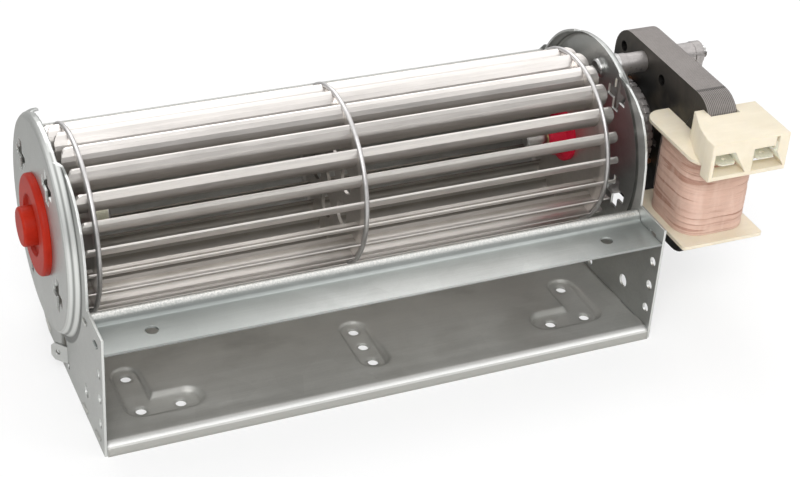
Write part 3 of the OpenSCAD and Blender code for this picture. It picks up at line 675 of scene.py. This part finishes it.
@dataclass(frozen=True)
class CreamPlastic:
    """Moulded cream plastic with a faint mould texture, and painted light inside the connector's pockets."""

    name: str = "cream_plastic"
    colour: Colour = (0.815, 0.740, 0.596)
    pocket: Colour = (0.990, 0.985, 0.860)
    pockets_middle: Point = (0.1170, -0.0232, 0.0672)
    pockets_left: float = 0.1040

    def make(self) -> bpy.types.Material:
        """Builds the material.

        Returns:
            The finished material.
        """
        g = Graph(self.name)
        cloud = g.noise(g.place(), 60.0, 4.0, 0.6)
        grain = g.noise(g.place(), 1900.0, 3.0, 0.6)
        flow = g.noise(g.place((1.0, 4.0, 1.0)), 90.0, 3.0, 0.5, 0.4)
        red, green, blue = self.colour
        low = (red * 0.90, green * 0.88, blue * 0.84)
        colour = g.ramp(cloud * 0.5 + flow * 0.35 + grain * 0.15, low, tint(self.colour, 1.05))
        x, y, z = g.axes()
        middle_x, middle_y, middle_z = self.pockets_middle
        # painted light inside the connector's pockets
        pocket = (x - middle_x).absolute().smooth(0.0137, 0.0132)
        pocket = pocket * (z - middle_z).absolute().smooth(0.0037, 0.0032)
        pocket = pocket * (y - middle_y).absolute().smooth(0.0042, 0.0039)
        colour = g.blend(colour, self.pocket, pocket * (x - self.pockets_left).above(0.0))
        moulded = g.bump(flow, 0.00005, 0.3, g.soft_edges(0.0004))
        normal = g.bump(grain, 0.00003, 0.5, moulded)
        g.dress(Base_Color=colour, Roughness=0.38 + grain * 0.14, Normal=normal)
        return g.dress(Subsurface_Weight=0.22, Subsurface_Radius=(0.003, 0.0024, 0.0014))


@dataclass(frozen=True)
class Enamel:
    """Enamelled wire, pale pink copper, with painted shade in irregular bands and in the grooves between the
    turns.
    """

    name: str = "enamelled_wire"
    pale: Colour = (0.70, 0.480, 0.385)
    deep: Colour = (0.40, 0.205, 0.145)
    crossed: Colour = (0.80, 0.64, 0.55)

    def make(self) -> bpy.types.Material:
        """Builds the material.

        Returns:
            The finished material.
        """
        g = Graph(self.name)
        band = g.noise(g.place((0.35, 0.35, 5.0)), 75.0, 4.0, 0.7, 0.3).smooth(0.50, 0.70)
        gap = g.noise(g.place((0.55, 0.55, 7.0), (0.03, 0.02, 0.0)), 58.0, 2.0, 0.4, 0.5)
        gap = gap.smooth(0.585, 0.645)
        strand = g.noise(g.place((0.3, 0.3, 30.0)), 120.0, 2.0, 0.5)
        slant = g.noise(g.place((1.0, 1.0, 0.25), (0.5, 0.0, 0.4)), 420.0, 2.0, 0.5).smooth(0.45, 0.75)
        cloud = g.noise(g.place(), 90.0, 3.0)
        base = g.tones(cloud * 0.6 + strand * 0.4, self.pale, 0.84, 1.03)
        # painted shade in the irregular bands and in the grooves between the turns
        colour = g.blend(g.blend(base, self.deep, band * 0.50), self.deep, gap * 0.75)
        colour = g.blend(colour, self.crossed, slant * 0.28)
        normal = g.bump(strand, 0.00005, 0.6, g.bump(1.0 - gap * 0.6 - band * 0.3, 0.00030, 0.6))
        return g.dress(Base_Color=colour, Roughness=0.36 + cloud * 0.12, Metallic=0.08, Normal=normal)


@dataclass(frozen=True)
class Bronze:
    """Sintered or turned bronze."""

    name: str = "bronze"
    colour: Colour = (0.60, 0.44, 0.20)

    def make(self) -> bpy.types.Material:
        """Builds the material.

        Returns:
            The finished material.
        """
        g = Graph(self.name)
        pores = g.noise(g.place(), 2100.0, 4.0, 0.7)
        cloud = g.noise(g.place(), 240.0, 3.0)
        colour = g.tones(pores * 0.5 + cloud * 0.5, self.colour, 0.6, 1.0)
        normal = g.bump(pores, 0.00003, 0.7)
        return g.dress(Base_Color=colour, Roughness=0.28 + pores * 0.2, Metallic=1.0, Normal=normal)


class Finish(Enum):
    """The blower's finishes by name."""

    SHEET = EndPlate()
    TONGUE = TongueSheet()
    SCROLL = ScrollSheet()
    STRIP = RolledAluminium()
    CAST_BARS = RolledAluminium("cast_aluminium", (0.55, 0.54, 0.53), 0.95, (0.30, 0.29, 0.28), 90.0, 0.0)
    RING = BrightSteel("ring_wire", (0.66, 0.645, 0.64), 0.36)
    STEEL = BrightSteel()
    TINNED = BrightSteel("tinned_blade", (0.93, 0.91, 0.81), 0.36, 0.45)
    CASTING = DieCast()
    STACK = Laminations()
    LEG = Laminations("leg_laminations", edge=(0.275, 0.252, 0.238), pitch=0.00067, depth=0.95)
    CORE = Laminations("rotor_laminations", edge=(0.12, 0.11, 0.105))
    RUBBER = Silicone()
    HUB = Silicone("hub_silicone", (0.60, 0.010, 0.030))
    PLASTIC = CreamPlastic()
    COIL = Enamel()
    COPPER = Bronze("shading_copper", (0.60, 0.28, 0.16))
    BRONZE = Bronze()
    COLLAR = Bronze("collar_brass", (0.66, 0.65, 0.52))

    @cache
    def material(self) -> bpy.types.Material:
        """Gives the finish's material, which is built at first use."""
        return self.value.make()


DRESS: Dict[Finish, Sequence[str]] = {
    Finish.SHEET: ("left_end_plate", "right_end_plate"),
    Finish.TONGUE: ("tongue_sheet",),
    Finish.SCROLL: ("scroll_sheet",),
    Finish.STRIP: ("impeller_blades", "left_disc", "middle_disc", "right_disc"),
    Finish.CAST_BARS: ("rotor_cage",),
    Finish.RING: ("left_ring", "middle_ring", "right_ring"),
    Finish.STEEL: ("stub_shaft", "motor_shaft", "thrust_washers", "bearing_clips", "mounting_spacers",
                  "motor_screws"),
    Finish.TINNED: ("terminals",),
    Finish.CASTING: ("inner_bracket", "outer_bracket"),
    Finish.STACK: ("stator_stack",),
    Finish.LEG: ("coil_core",),
    Finish.CORE: ("rotor_core",),
    Finish.RUBBER: ("bearing_bush",),
    Finish.HUB: ("rubber_hub",),
    Finish.PLASTIC: ("bobbin", "connector_housing"),
    Finish.COIL: ("winding",),
    Finish.COPPER: ("shading_rings",),
    Finish.COLLAR: ("stub_collar",),
    Finish.BRONZE: ("stub_bearing", "hub_sleeve", "inner_bearing", "outer_bearing"),
}


def dress_nodes() -> None:
    """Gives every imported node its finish."""
    for finish, nodes in DRESS.items():
        for node in nodes:
            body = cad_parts[node]
            body.data.materials.clear()
            body.data.materials.append(finish.material())
            LOG.info("node %s dressed in %s", node, finish.value.name)


# Pieces modelled one by one


class Piece:
    """One mesh that is shaped in edit mode, as by hand."""

    def __init__(self, name: str) -> None:
        """Takes the primitive that was just added and puts its place into its mesh.

        Args:
            name: The piece's name.
        """
        self.body = bpy.context.active_object
        self.body.name = name
        self.body.data.name = name
        bpy.ops.object.transform_apply(location=True, rotation=True, scale=True)

    @staticmethod
    def clear() -> None:
        """Leaves edit mode and selects nothing."""
        if bpy.context.object is not None and bpy.context.object.mode != "OBJECT":
            bpy.ops.object.mode_set(mode="OBJECT")
        bpy.ops.object.select_all(action="DESELECT")

    @classmethod
    def rod(cls, name: str, start: Point, length: float, radius: float, sides: int = 32) -> "Piece":
        """Starts from a cylinder that lies along X.

        Args:
            name: The piece's name.
            start: The middle of its left end.
            length: Its length.
            radius: Its radius.
            sides: Its number of sides.

        Returns:
            The piece.
        """
        cls.clear()
        middle = (start[0] + length / 2, start[1], start[2])
        bpy.ops.mesh.primitive_cylinder_add(vertices=sides, radius=radius, depth=length, location=middle,
                                            rotation=(0.0, math.pi / 2, 0.0))
        return cls(name)

    @classmethod
    def block(cls, name: str, low: Point, high: Point) -> "Piece":
        """Starts from a box between two corners.

        Args:
            name: The piece's name.
            low: Its lowest corner.
            high: Its highest corner.

        Returns:
            The piece.
        """
        cls.clear()
        middle = [(a + b) / 2 for a, b in zip(low, high)]
        bpy.ops.mesh.primitive_cube_add(size=1.0, location=middle, scale=[b - a for a, b in zip(low, high)])
        return cls(name)

    def _activate(self) -> None:
        """Selects this piece alone and makes it the active one."""
        self.clear()
        self.body.select_set(True)
        bpy.context.view_layer.objects.active = self.body

    def _edit(self, mode: str) -> None:
        """Enters edit mode with nothing selected.

        Args:
            mode: What is selected: VERT, EDGE or FACE.
        """
        self._activate()
        bpy.ops.object.mode_set(mode="EDIT")
        bpy.ops.mesh.select_mode(type=mode)
        bpy.ops.mesh.select_all(action="DESELECT")
        bpy.ops.object.mode_set(mode="OBJECT")

    def faces(self, test: Callable[[Vector, Vector], bool]) -> "Piece":
        """Selects faces and stays in edit mode.

        Args:
            test: Takes a face's middle and its normal.

        Returns:
            The piece.
        """
        self._edit("FACE")
        for face in self.body.data.polygons:
            face.select = test(face.center, face.normal)
        bpy.ops.object.mode_set(mode="EDIT")
        return self

    def edges(self, test: Callable[[Vector, Vector], bool]) -> "Piece":
        """Selects edges and stays in edit mode.

        Args:
            test: Takes an edge's two ends.

        Returns:
            The piece.
        """
        self._edit("EDGE")
        points = self.body.data.vertices
        for edge in self.body.data.edges:
            edge.select = test(points[edge.vertices[0]].co, points[edge.vertices[1]].co)
        bpy.ops.object.mode_set(mode="EDIT")
        return self

    def grow(self, move: Point, centre: Point, factor: Point = (1.0, 1.0, 1.0)) -> "Piece":
        """Extrudes what is selected, moves it and scales it.

        Args:
            move: The step.
            centre: The fixed point of the scaling.
            factor: Scale along each axis.

        Returns:
            The piece.
        """
        bpy.ops.mesh.extrude_region_move(TRANSFORM_OT_translate={"value": move})
        bpy.ops.transform.resize(value=factor, center_override=centre)
        return self

    def shift(self, move: Point) -> "Piece":
        """Moves what is selected by a step."""
        bpy.ops.transform.translate(value=move)
        return self

    def bevel(self, width: float, segments: int = 2) -> "Piece":
        """Bevels the selected edges by a width, in a number of steps."""
        bpy.ops.mesh.bevel(offset=width, segments=segments, affect="EDGES")
        return self

    def cut(self, tool: "Piece") -> "Piece":
        """Takes another piece's space away and deletes that piece.

        Args:
            tool: The piece that cuts.

        Returns:
            The piece.
        """
        self._activate()
        modifier = self.body.modifiers.new("cut", "BOOLEAN")
        modifier.operation, modifier.solver, modifier.object = "DIFFERENCE", "EXACT", tool.body
        bpy.ops.object.modifier_apply(modifier=modifier.name)
        bpy.data.objects.remove(tool.body, do_unlink=True)
        return self

    def finish(self, finish: Finish, body: str, slot: str, angle: float) -> None:
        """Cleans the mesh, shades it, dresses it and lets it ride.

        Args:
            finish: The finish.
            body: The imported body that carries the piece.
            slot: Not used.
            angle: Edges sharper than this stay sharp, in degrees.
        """
        self.faces(lambda middle, normal: True)
        bpy.ops.mesh.remove_doubles(threshold=0.000002)
        bpy.ops.mesh.normals_make_consistent(inside=False)
        self._activate()
        bpy.ops.object.shade_smooth_by_angle(angle=math.radians(angle))
        self.body.data.materials.append(finish.material())
        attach(self.body, body)
        LOG.info("piece %s: %d faces", self.body.name, len(self.body.data.polygons))

    def join(self, others: Sequence["Piece"]) -> "Piece":
        """Joins other pieces into this one.

        Args:
            others: The pieces to take in.

        Returns:
            The piece.
        """
        self._activate()
        for other in others:
            other.body.select_set(True)
        bpy.ops.object.join()
        return self


@dataclass
class MotorScrews:
    """Two long slotted screws whose threaded ends show behind the outer bracket."""

    reach: float = 24.0 * MM
    radius: float = 2.0 * MM
    head_radius: float = 3.4 * MM
    head_height: float = 1.8 * MM
    seat_x: float = 94.98 * MM
    end_x: float = 136.0 * MM
    pitch: float = 0.7 * MM
    threads: int = 6
    root: float = 0.87
    point: float = 0.3 * MM
    point_size: float = 0.78
    slot_half: float = 0.4 * MM
    slot_depth: float = 0.9 * MM

    def build(self) -> None:
        """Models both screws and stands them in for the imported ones."""
        screws = [self._screw(side) for side in (1, -1)]
        screws[0].join(screws[1:]).finish(Finish.STEEL, "housing", "steel", 28.0)
        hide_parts("motor_screws")

    def _screw(self, side: int) -> Piece:
        """Models one screw.

        Args:
            side: 1 for the upper screw and -1 for the lower one.

        Returns:
            The screw.
        """
        height = AXIS_Z + side * self.reach
        thread_x = self.end_x - self.point - self.threads * self.pitch
        middle = (self.seat_x, AXIS_Y, height)
        screw = Piece.rod("motor_screws_threaded", middle, thread_x - self.seat_x, self.radius)
        screw.faces(lambda at, normal: normal.x > 0.9)
        for _ in range(self.threads):
            for size in (self.root, 1 / self.root):
                screw.grow((self.pitch / 2, 0, 0), middle, (1, size, size))
        screw.grow((self.point, 0, 0), middle, (1, self.point_size, self.point_size))
        screw.faces(lambda at, normal: normal.x < -0.9)
        spread = self.head_radius / self.radius
        for share, size in ((0.0, spread), (0.55, 1.0), (0.30, 0.90), (0.15, 0.86)):
            screw.grow((-self.head_height * share, 0, 0), middle, (1, size, size))
        slot_x = self.seat_x - self.head_height
        past = 1.0 * MM
        slot = Piece.block("driver_slot", (slot_x - past, AXIS_Y - 4 * past, height - self.slot_half),
                           (slot_x + self.slot_depth, AXIS_Y + 4 * past, height + self.slot_half))
        return screw.cut(slot)


@dataclass
class Winding:
    """The coil: rows of enamelled wire laid round the bobbin's tube, a little uneven from row to row."""

    centre: Tuple[float, float] = (117.05 * MM, -4.55 * MM)
    width: float = 26.0 * MM
    depth: float = 26.6 * MM
    low: float = 32.37 * MM
    high: float = 62.43 * MM
    corner: float = 8.0 * MM
    core_width: float = 13.36 * MM
    core_depth: float = 15.66 * MM
    rows: int = 84
    groove: float = 0.13 * MM
    deep_groove: float = 2.6
    deep_share: float = 0.08
    uneven: float = 0.16 * MM

    def build(self) -> None:
        """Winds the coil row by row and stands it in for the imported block."""
        luck = random.Random(7)
        x, y = self.centre
        pitch = (self.high - self.low) / self.rows
        half_w, half_d = self.width / 2 - self.groove, self.depth / 2 - self.groove
        coil = Piece.block("winding_rows", (x - half_w, y - half_d, self.low),
                           (x + half_w, y + half_d, self.low + pitch / 2))
        coil.edges(lambda a, b: abs(a.z - b.z) > pitch / 4).bevel(self.corner, 7)
        coil.faces(lambda at, normal: normal.z > 0.9)
        size, drift = 1.0, 0.0
        for row in range(self.rows):
            drift = drift * 0.7 + luck.uniform(-0.5, 0.5) * self.uneven
            deep = self.groove * (self.deep_groove if luck.random() < self.deep_share else 1.0)
            crest = 1.0 + (self.groove * 0.6 + min(0.0, drift)) / half_w
            valley = crest - deep / half_w
            rise = pitch / 2 if row else pitch / 4
            fall = pitch / 2 if row < self.rows - 1 else pitch / 4
            for step, target in ((rise, crest), (fall, valley)):
                coil.grow((0, 0, step), (x, y, 0), (target / size, target / size, 1))
                size = target
        past = 1.0 * MM
        half_w, half_d = self.core_width / 2, self.core_depth / 2
        core = Piece.block("core_space", (x - half_w, y - half_d, self.low - past),
                           (x + half_w, y + half_d, self.low + pitch / 2 + 50 * past))
        coil.cut(core).finish(Finish.COIL, "housing", "copper", 24.0)
        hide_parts("winding")


@dataclass
class Terminals:
    """Two flat blades with a tapered lead-in and a locking hole."""

    middles: Tuple[float, float] = (110.5 * MM, 124.8 * MM)
    width: float = 6.3 * MM
    thickness: float = 0.8 * MM
    low: float = 64.15 * MM
    rear: float = -11.65 * MM
    tip: float = -25.95 * MM
    lead_in: float = 1.1 * MM
    tip_width: float = 0.68
    tip_thickness: float = 0.42
    edge_radius: float = 0.09 * MM
    hole: float = 0.85 * MM
    hole_from_tip: float = 3.0 * MM

    def build(self) -> None:
        """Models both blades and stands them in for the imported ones."""
        blades = [self._blade(x) for x in self.middles]
        blades[0].join(blades[1:]).finish(Finish.TINNED, "housing", "terminal_metal", 30.0)
        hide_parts("terminals")

    def _blade(self, x: float) -> Piece:
        """Models one blade.

        Args:
            x: Its middle along the rotor.

        Returns:
            The blade.
        """
        shoulder = self.tip + self.lead_in
        blade = Piece.block("terminals_coined", (x - self.width / 2, shoulder, self.low),
                            (x + self.width / 2, self.rear, self.low + self.thickness))
        blade.faces(lambda at, normal: normal.y < -0.9)
        blade.grow((0, -self.lead_in, 0), (x, self.tip, self.low + self.thickness / 2),
                   (self.tip_width, 1, self.tip_thickness))
        blade.edges(lambda a, b: abs(a.y - b.y) > 5 * MM).bevel(self.edge_radius, 2)
        blade.clear()
        bpy.ops.mesh.primitive_cylinder_add(vertices=28, radius=self.hole, depth=4 * MM,
                                            location=(x, self.tip + self.hole_from_tip, self.low))
        return blade.cut(Piece("locking_hole"))


@dataclass
class Connector:
    """The open-fronted connector housing with two slanted pockets, a slot for the leg and a latch slot."""

    left: float = 102.75 * MM
    right: float = 131.35 * MM
    front: float = -27.55 * MM
    rear: float = -6.25 * MM
    low: float = 60.2 * MM
    flange: float = 63.72 * MM
    top: float = 73.7 * MM
    lap_rear: float = -22.25 * MM
    taper_start: float = -23.25 * MM
    knee: float = -16.25 * MM
    knee_taper: float = 1.6 * MM
    corner_taper: float = 5.6 * MM
    edge_radius: float = 0.35 * MM
    terminals: Tuple[float, float] = Terminals.middles
    pocket_left: float = 6.4 * MM
    pocket_right: float = 5.6 * MM
    pocket_lean: float = 4.7 * MM
    pocket_low: float = 61.8 * MM
    pocket_top: float = 69.8 * MM
    pocket_rear: float = -19.2 * MM
    pocket_step: float = 0.43 * MM
    leg_left: float = 111.65 * MM
    leg_right: float = 122.45 * MM
    leg_front: float = -11.1 * MM
    latch_left: float = 126.2 * MM
    latch_right: float = 127.4 * MM
    latch_low: float = 67.6 * MM
    latch_top: float = 73.0 * MM
    latch_depth: float = 4.0 * MM

    def build(self) -> None:
        """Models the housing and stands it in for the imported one."""
        past = 1.0 * MM
        shell = Piece.block("connector_moulding", (self.left, self.front, self.flange),
                            (self.right, self.rear, self.top))
        self._taper(shell)
        shell.faces(lambda at, normal: normal.z < -0.9)
        bpy.ops.mesh.bisect(plane_co=(0.0, self.lap_rear, 0.0), plane_no=(0.0, 1.0, 0.0))
        shell.faces(lambda at, normal: normal.z < -0.9 and at.y < self.lap_rear)
        shell.grow((0, 0, self.low - self.flange), (0, 0, 0))
        shell.edges(self._outer_edge).bevel(self.edge_radius, 3)
        shell.clear()
        for x in self.terminals:
            shell.cut(self._pocket(x, self.front - past, self.pocket_rear, self.flange + self.pocket_step))
            shell.cut(self._pocket(x, self.front - past, self.lap_rear, self.pocket_low))
        leg = Piece.block("leg_space", (self.leg_left, self.leg_front, self.low - past),
                          (self.leg_right, self.rear + 5 * past, self.top + past))
        latch = Piece.block("latch_space", (self.latch_left, self.front - past, self.latch_low),
                            (self.latch_right, self.front + self.latch_depth, self.latch_top))
        shell.cut(leg).cut(latch).finish(Finish.PLASTIC, "housing", "cream_plastic", 30.0)
        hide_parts("connector_housing")

    def _taper(self, shell: Piece) -> None:
        """Draws the left wall in towards the rear in two straight steps.

        Args:
            shell: The housing's block.
        """
        shell.faces(lambda at, normal: True)
        for place in (self.taper_start, self.knee):
            bpy.ops.mesh.select_all(action="SELECT")
            bpy.ops.mesh.bisect(plane_co=(0.0, place, 0.0), plane_no=(0.0, 1.0, 0.0))
        near = 0.01 * MM
        for place, step in ((self.knee, self.knee_taper), (self.rear, self.corner_taper)):
            shell.edges(lambda a, b: abs(a.y - place) < near and abs(b.y - place) < near
                        and a.x < self.left + near and b.x < self.left + near)
            shell.shift((step, 0, 0))

    def _outer_edge(self, a: Vector, b: Vector) -> bool:
        """Picks the outline of the top and of the front, not the lines that only cross a flat side.

        Args:
            a: One end of the edge.
            b: Its other end.

        Returns:
            True for an edge that is rounded.
        """
        near = 0.1 * MM
        at_top = min(a.z, b.z) > self.top - near
        at_front = max(a.y, b.y) < self.front + near
        cut_across = abs(a.y - b.y) < near and self.front + 1 * MM < a.y < self.rear - 1 * MM
        seam = abs(a.z - self.flange) < near and abs(b.z - self.flange) < near
        return (at_top or at_front) and not cut_across and not seam

    def _pocket(self, x: float, front: float, rear: float, low: float) -> Piece:
        """Models the space of one pocket; its right side leans inwards.

        Args:
            x: The middle of the terminal.
            front: Where the space begins.
            rear: Where it ends.
            low: Its lowest level.

        Returns:
            The space.
        """
        share = (self.pocket_top - low) / (self.pocket_top - self.pocket_low)
        right = x + self.pocket_right - self.pocket_lean * (1.0 - share)
        space = Piece.block("pocket_space", (x - self.pocket_left, front, low),
                            (right, rear, self.pocket_top))
        near = 0.1 * MM
        space.edges(lambda a, b: min(a.x, b.x) > right - near
                    and min(a.z, b.z) > self.pocket_top - near)
        space.shift((-self.pocket_lean * share, 0, 0))
        return space


# Studio


@dataclass
class Studio:
    """Floor, sky, lamps and the camera, which stands where the photograph was taken from."""

    floor_size: float = 6.0
    floor_near: Colour = (0.95, 0.95, 0.94)
    floor_far: Colour = (0.46, 0.46, 0.45)
    sky: float = 0.57
    horizon: float = 0.50
    zenith: float = 1.40
    front_dark: float = 0.60
    lens: float = 82.34
    spot: Point = (-0.196265, -0.431267, 0.357374)
    tilt: Point = (56.5645, -3.5548, -23.3254)
    shift: Tuple[float, float] = (-0.0028, -0.0055)
    aim: Point = (0.0, 0.02, 0.04)

    def build(self) -> None:
        """Builds the whole studio."""
        self._camera()
        self._floor()
        self._sky()
        self._lamp("key", (-0.48, -0.95, 0.98), 0.9, 12.0)
        self._lamp("fill", (0.95, -0.55, 0.75), 0.8, 3.0)
        self._lamp("back", (0.1, 0.9, 0.9), 0.9, 5.0)

    def _camera(self) -> None:
        """Puts the camera where the photograph was taken from."""
        bpy.ops.object.camera_add(location=self.spot, rotation=[math.radians(a) for a in self.tilt])
        camera = bpy.context.active_object
        camera.name = "photo_camera"
        camera.data.lens = self.lens
        camera.data.sensor_width = 36.0
        camera.data.shift_x, camera.data.shift_y = self.shift
        camera.data.clip_start, camera.data.clip_end = 0.01, 20.0
        bpy.context.scene.camera = camera

    def _floor(self) -> None:
        """Lays a pale floor whose far parts fade into the sky."""
        bpy.ops.mesh.primitive_plane_add(size=self.floor_size, location=(0.0, 0.0, 0.0))
        floor = bpy.context.active_object
        floor.name = "studio_floor"
        g = Graph("studio_floor")
        _, y, _ = g.axes()
        camera = g.node("ShaderNodeLightPath", output="Is Camera Ray")
        gloss = g.node("ShaderNodeLightPath", output="Is Glossy Ray")
        mirrored = g.blend(self.floor_near, self.floor_far, y.smooth(-0.20, 0.25))
        seen = g.blend((0.93, 0.93, 0.93), (0.42, 0.42, 0.42), camera)
        g.dress(Base_Color=g.blend(seen, mirrored, gloss), Roughness=0.7, Specular_IOR_Level=0.1)
        g.dress(Emission_Color=g.blend((0.0, 0.0, 0.0), (0.56, 0.56, 0.56), camera), Emission_Strength=1.0)
        floor.data.materials.append(g.material)

    def _sky(self) -> None:
        """Lights softly from all round; reflections see a studio that is darker near the horizon."""
        world = bpy.data.worlds.new("studio_sky")
        bpy.context.scene.world = world
        world.use_nodes = True
        g = Graph("studio_sky", world.node_tree)
        _, back, up = g.split(g.node("ShaderNodeTexCoord", output="Generated"))
        studio = self.horizon + up.smooth(0.05, 0.80) * (self.zenith - self.horizon)
        studio = studio * (1.0 - back.smooth(0.15, -0.75) * self.front_dark)
        camera = g.node("ShaderNodeLightPath", output="Is Camera Ray")
        gloss = g.node("ShaderNodeLightPath", output="Is Glossy Ray")
        through = g.node("ShaderNodeLightPath", output="Is Transmission Ray")
        mirrored = gloss.larger(through)
        around = mirrored * studio + (1.0 - mirrored) * self.sky
        strength = camera + (1.0 - camera) * around
        light = g.node("ShaderNodeBackground", None, {"Color": (1.0, 1.0, 1.0), "Strength": strength})
        g.end_sky(light)

    def _lamp(self, name: str, spot: Point, size: float, power: float) -> None:
        """Hangs a square soft lamp that points at the blower.

        Args:
            name: The lamp's name.
            spot: Its place, in metres.
            size: Its side, in metres.
            power: Its power, in watts.
        """
        turn = (Vector(self.aim) - Vector(spot)).to_track_quat("-Z", "Y").to_euler()
        bpy.ops.object.light_add(type="AREA", location=spot, rotation=turn)
        lamp = bpy.context.active_object
        lamp.name = "lamp_" + name
        lamp.data.shape = "SQUARE"
        lamp.data.size = size
        lamp.data.energy = power


def main() -> None:
    """Builds the studio, dresses the nodes and adds the small fittings."""
    logging.basicConfig(level=logging.INFO, format="%(message)s")
    bpy.context.scene.view_settings.view_transform = "Standard"
    Studio().build()
    dress_nodes()
    for fitting in (MotorScrews(), Winding(), Terminals(), Connector()):
        fitting.build()


if __name__ == "__main__":
    main()
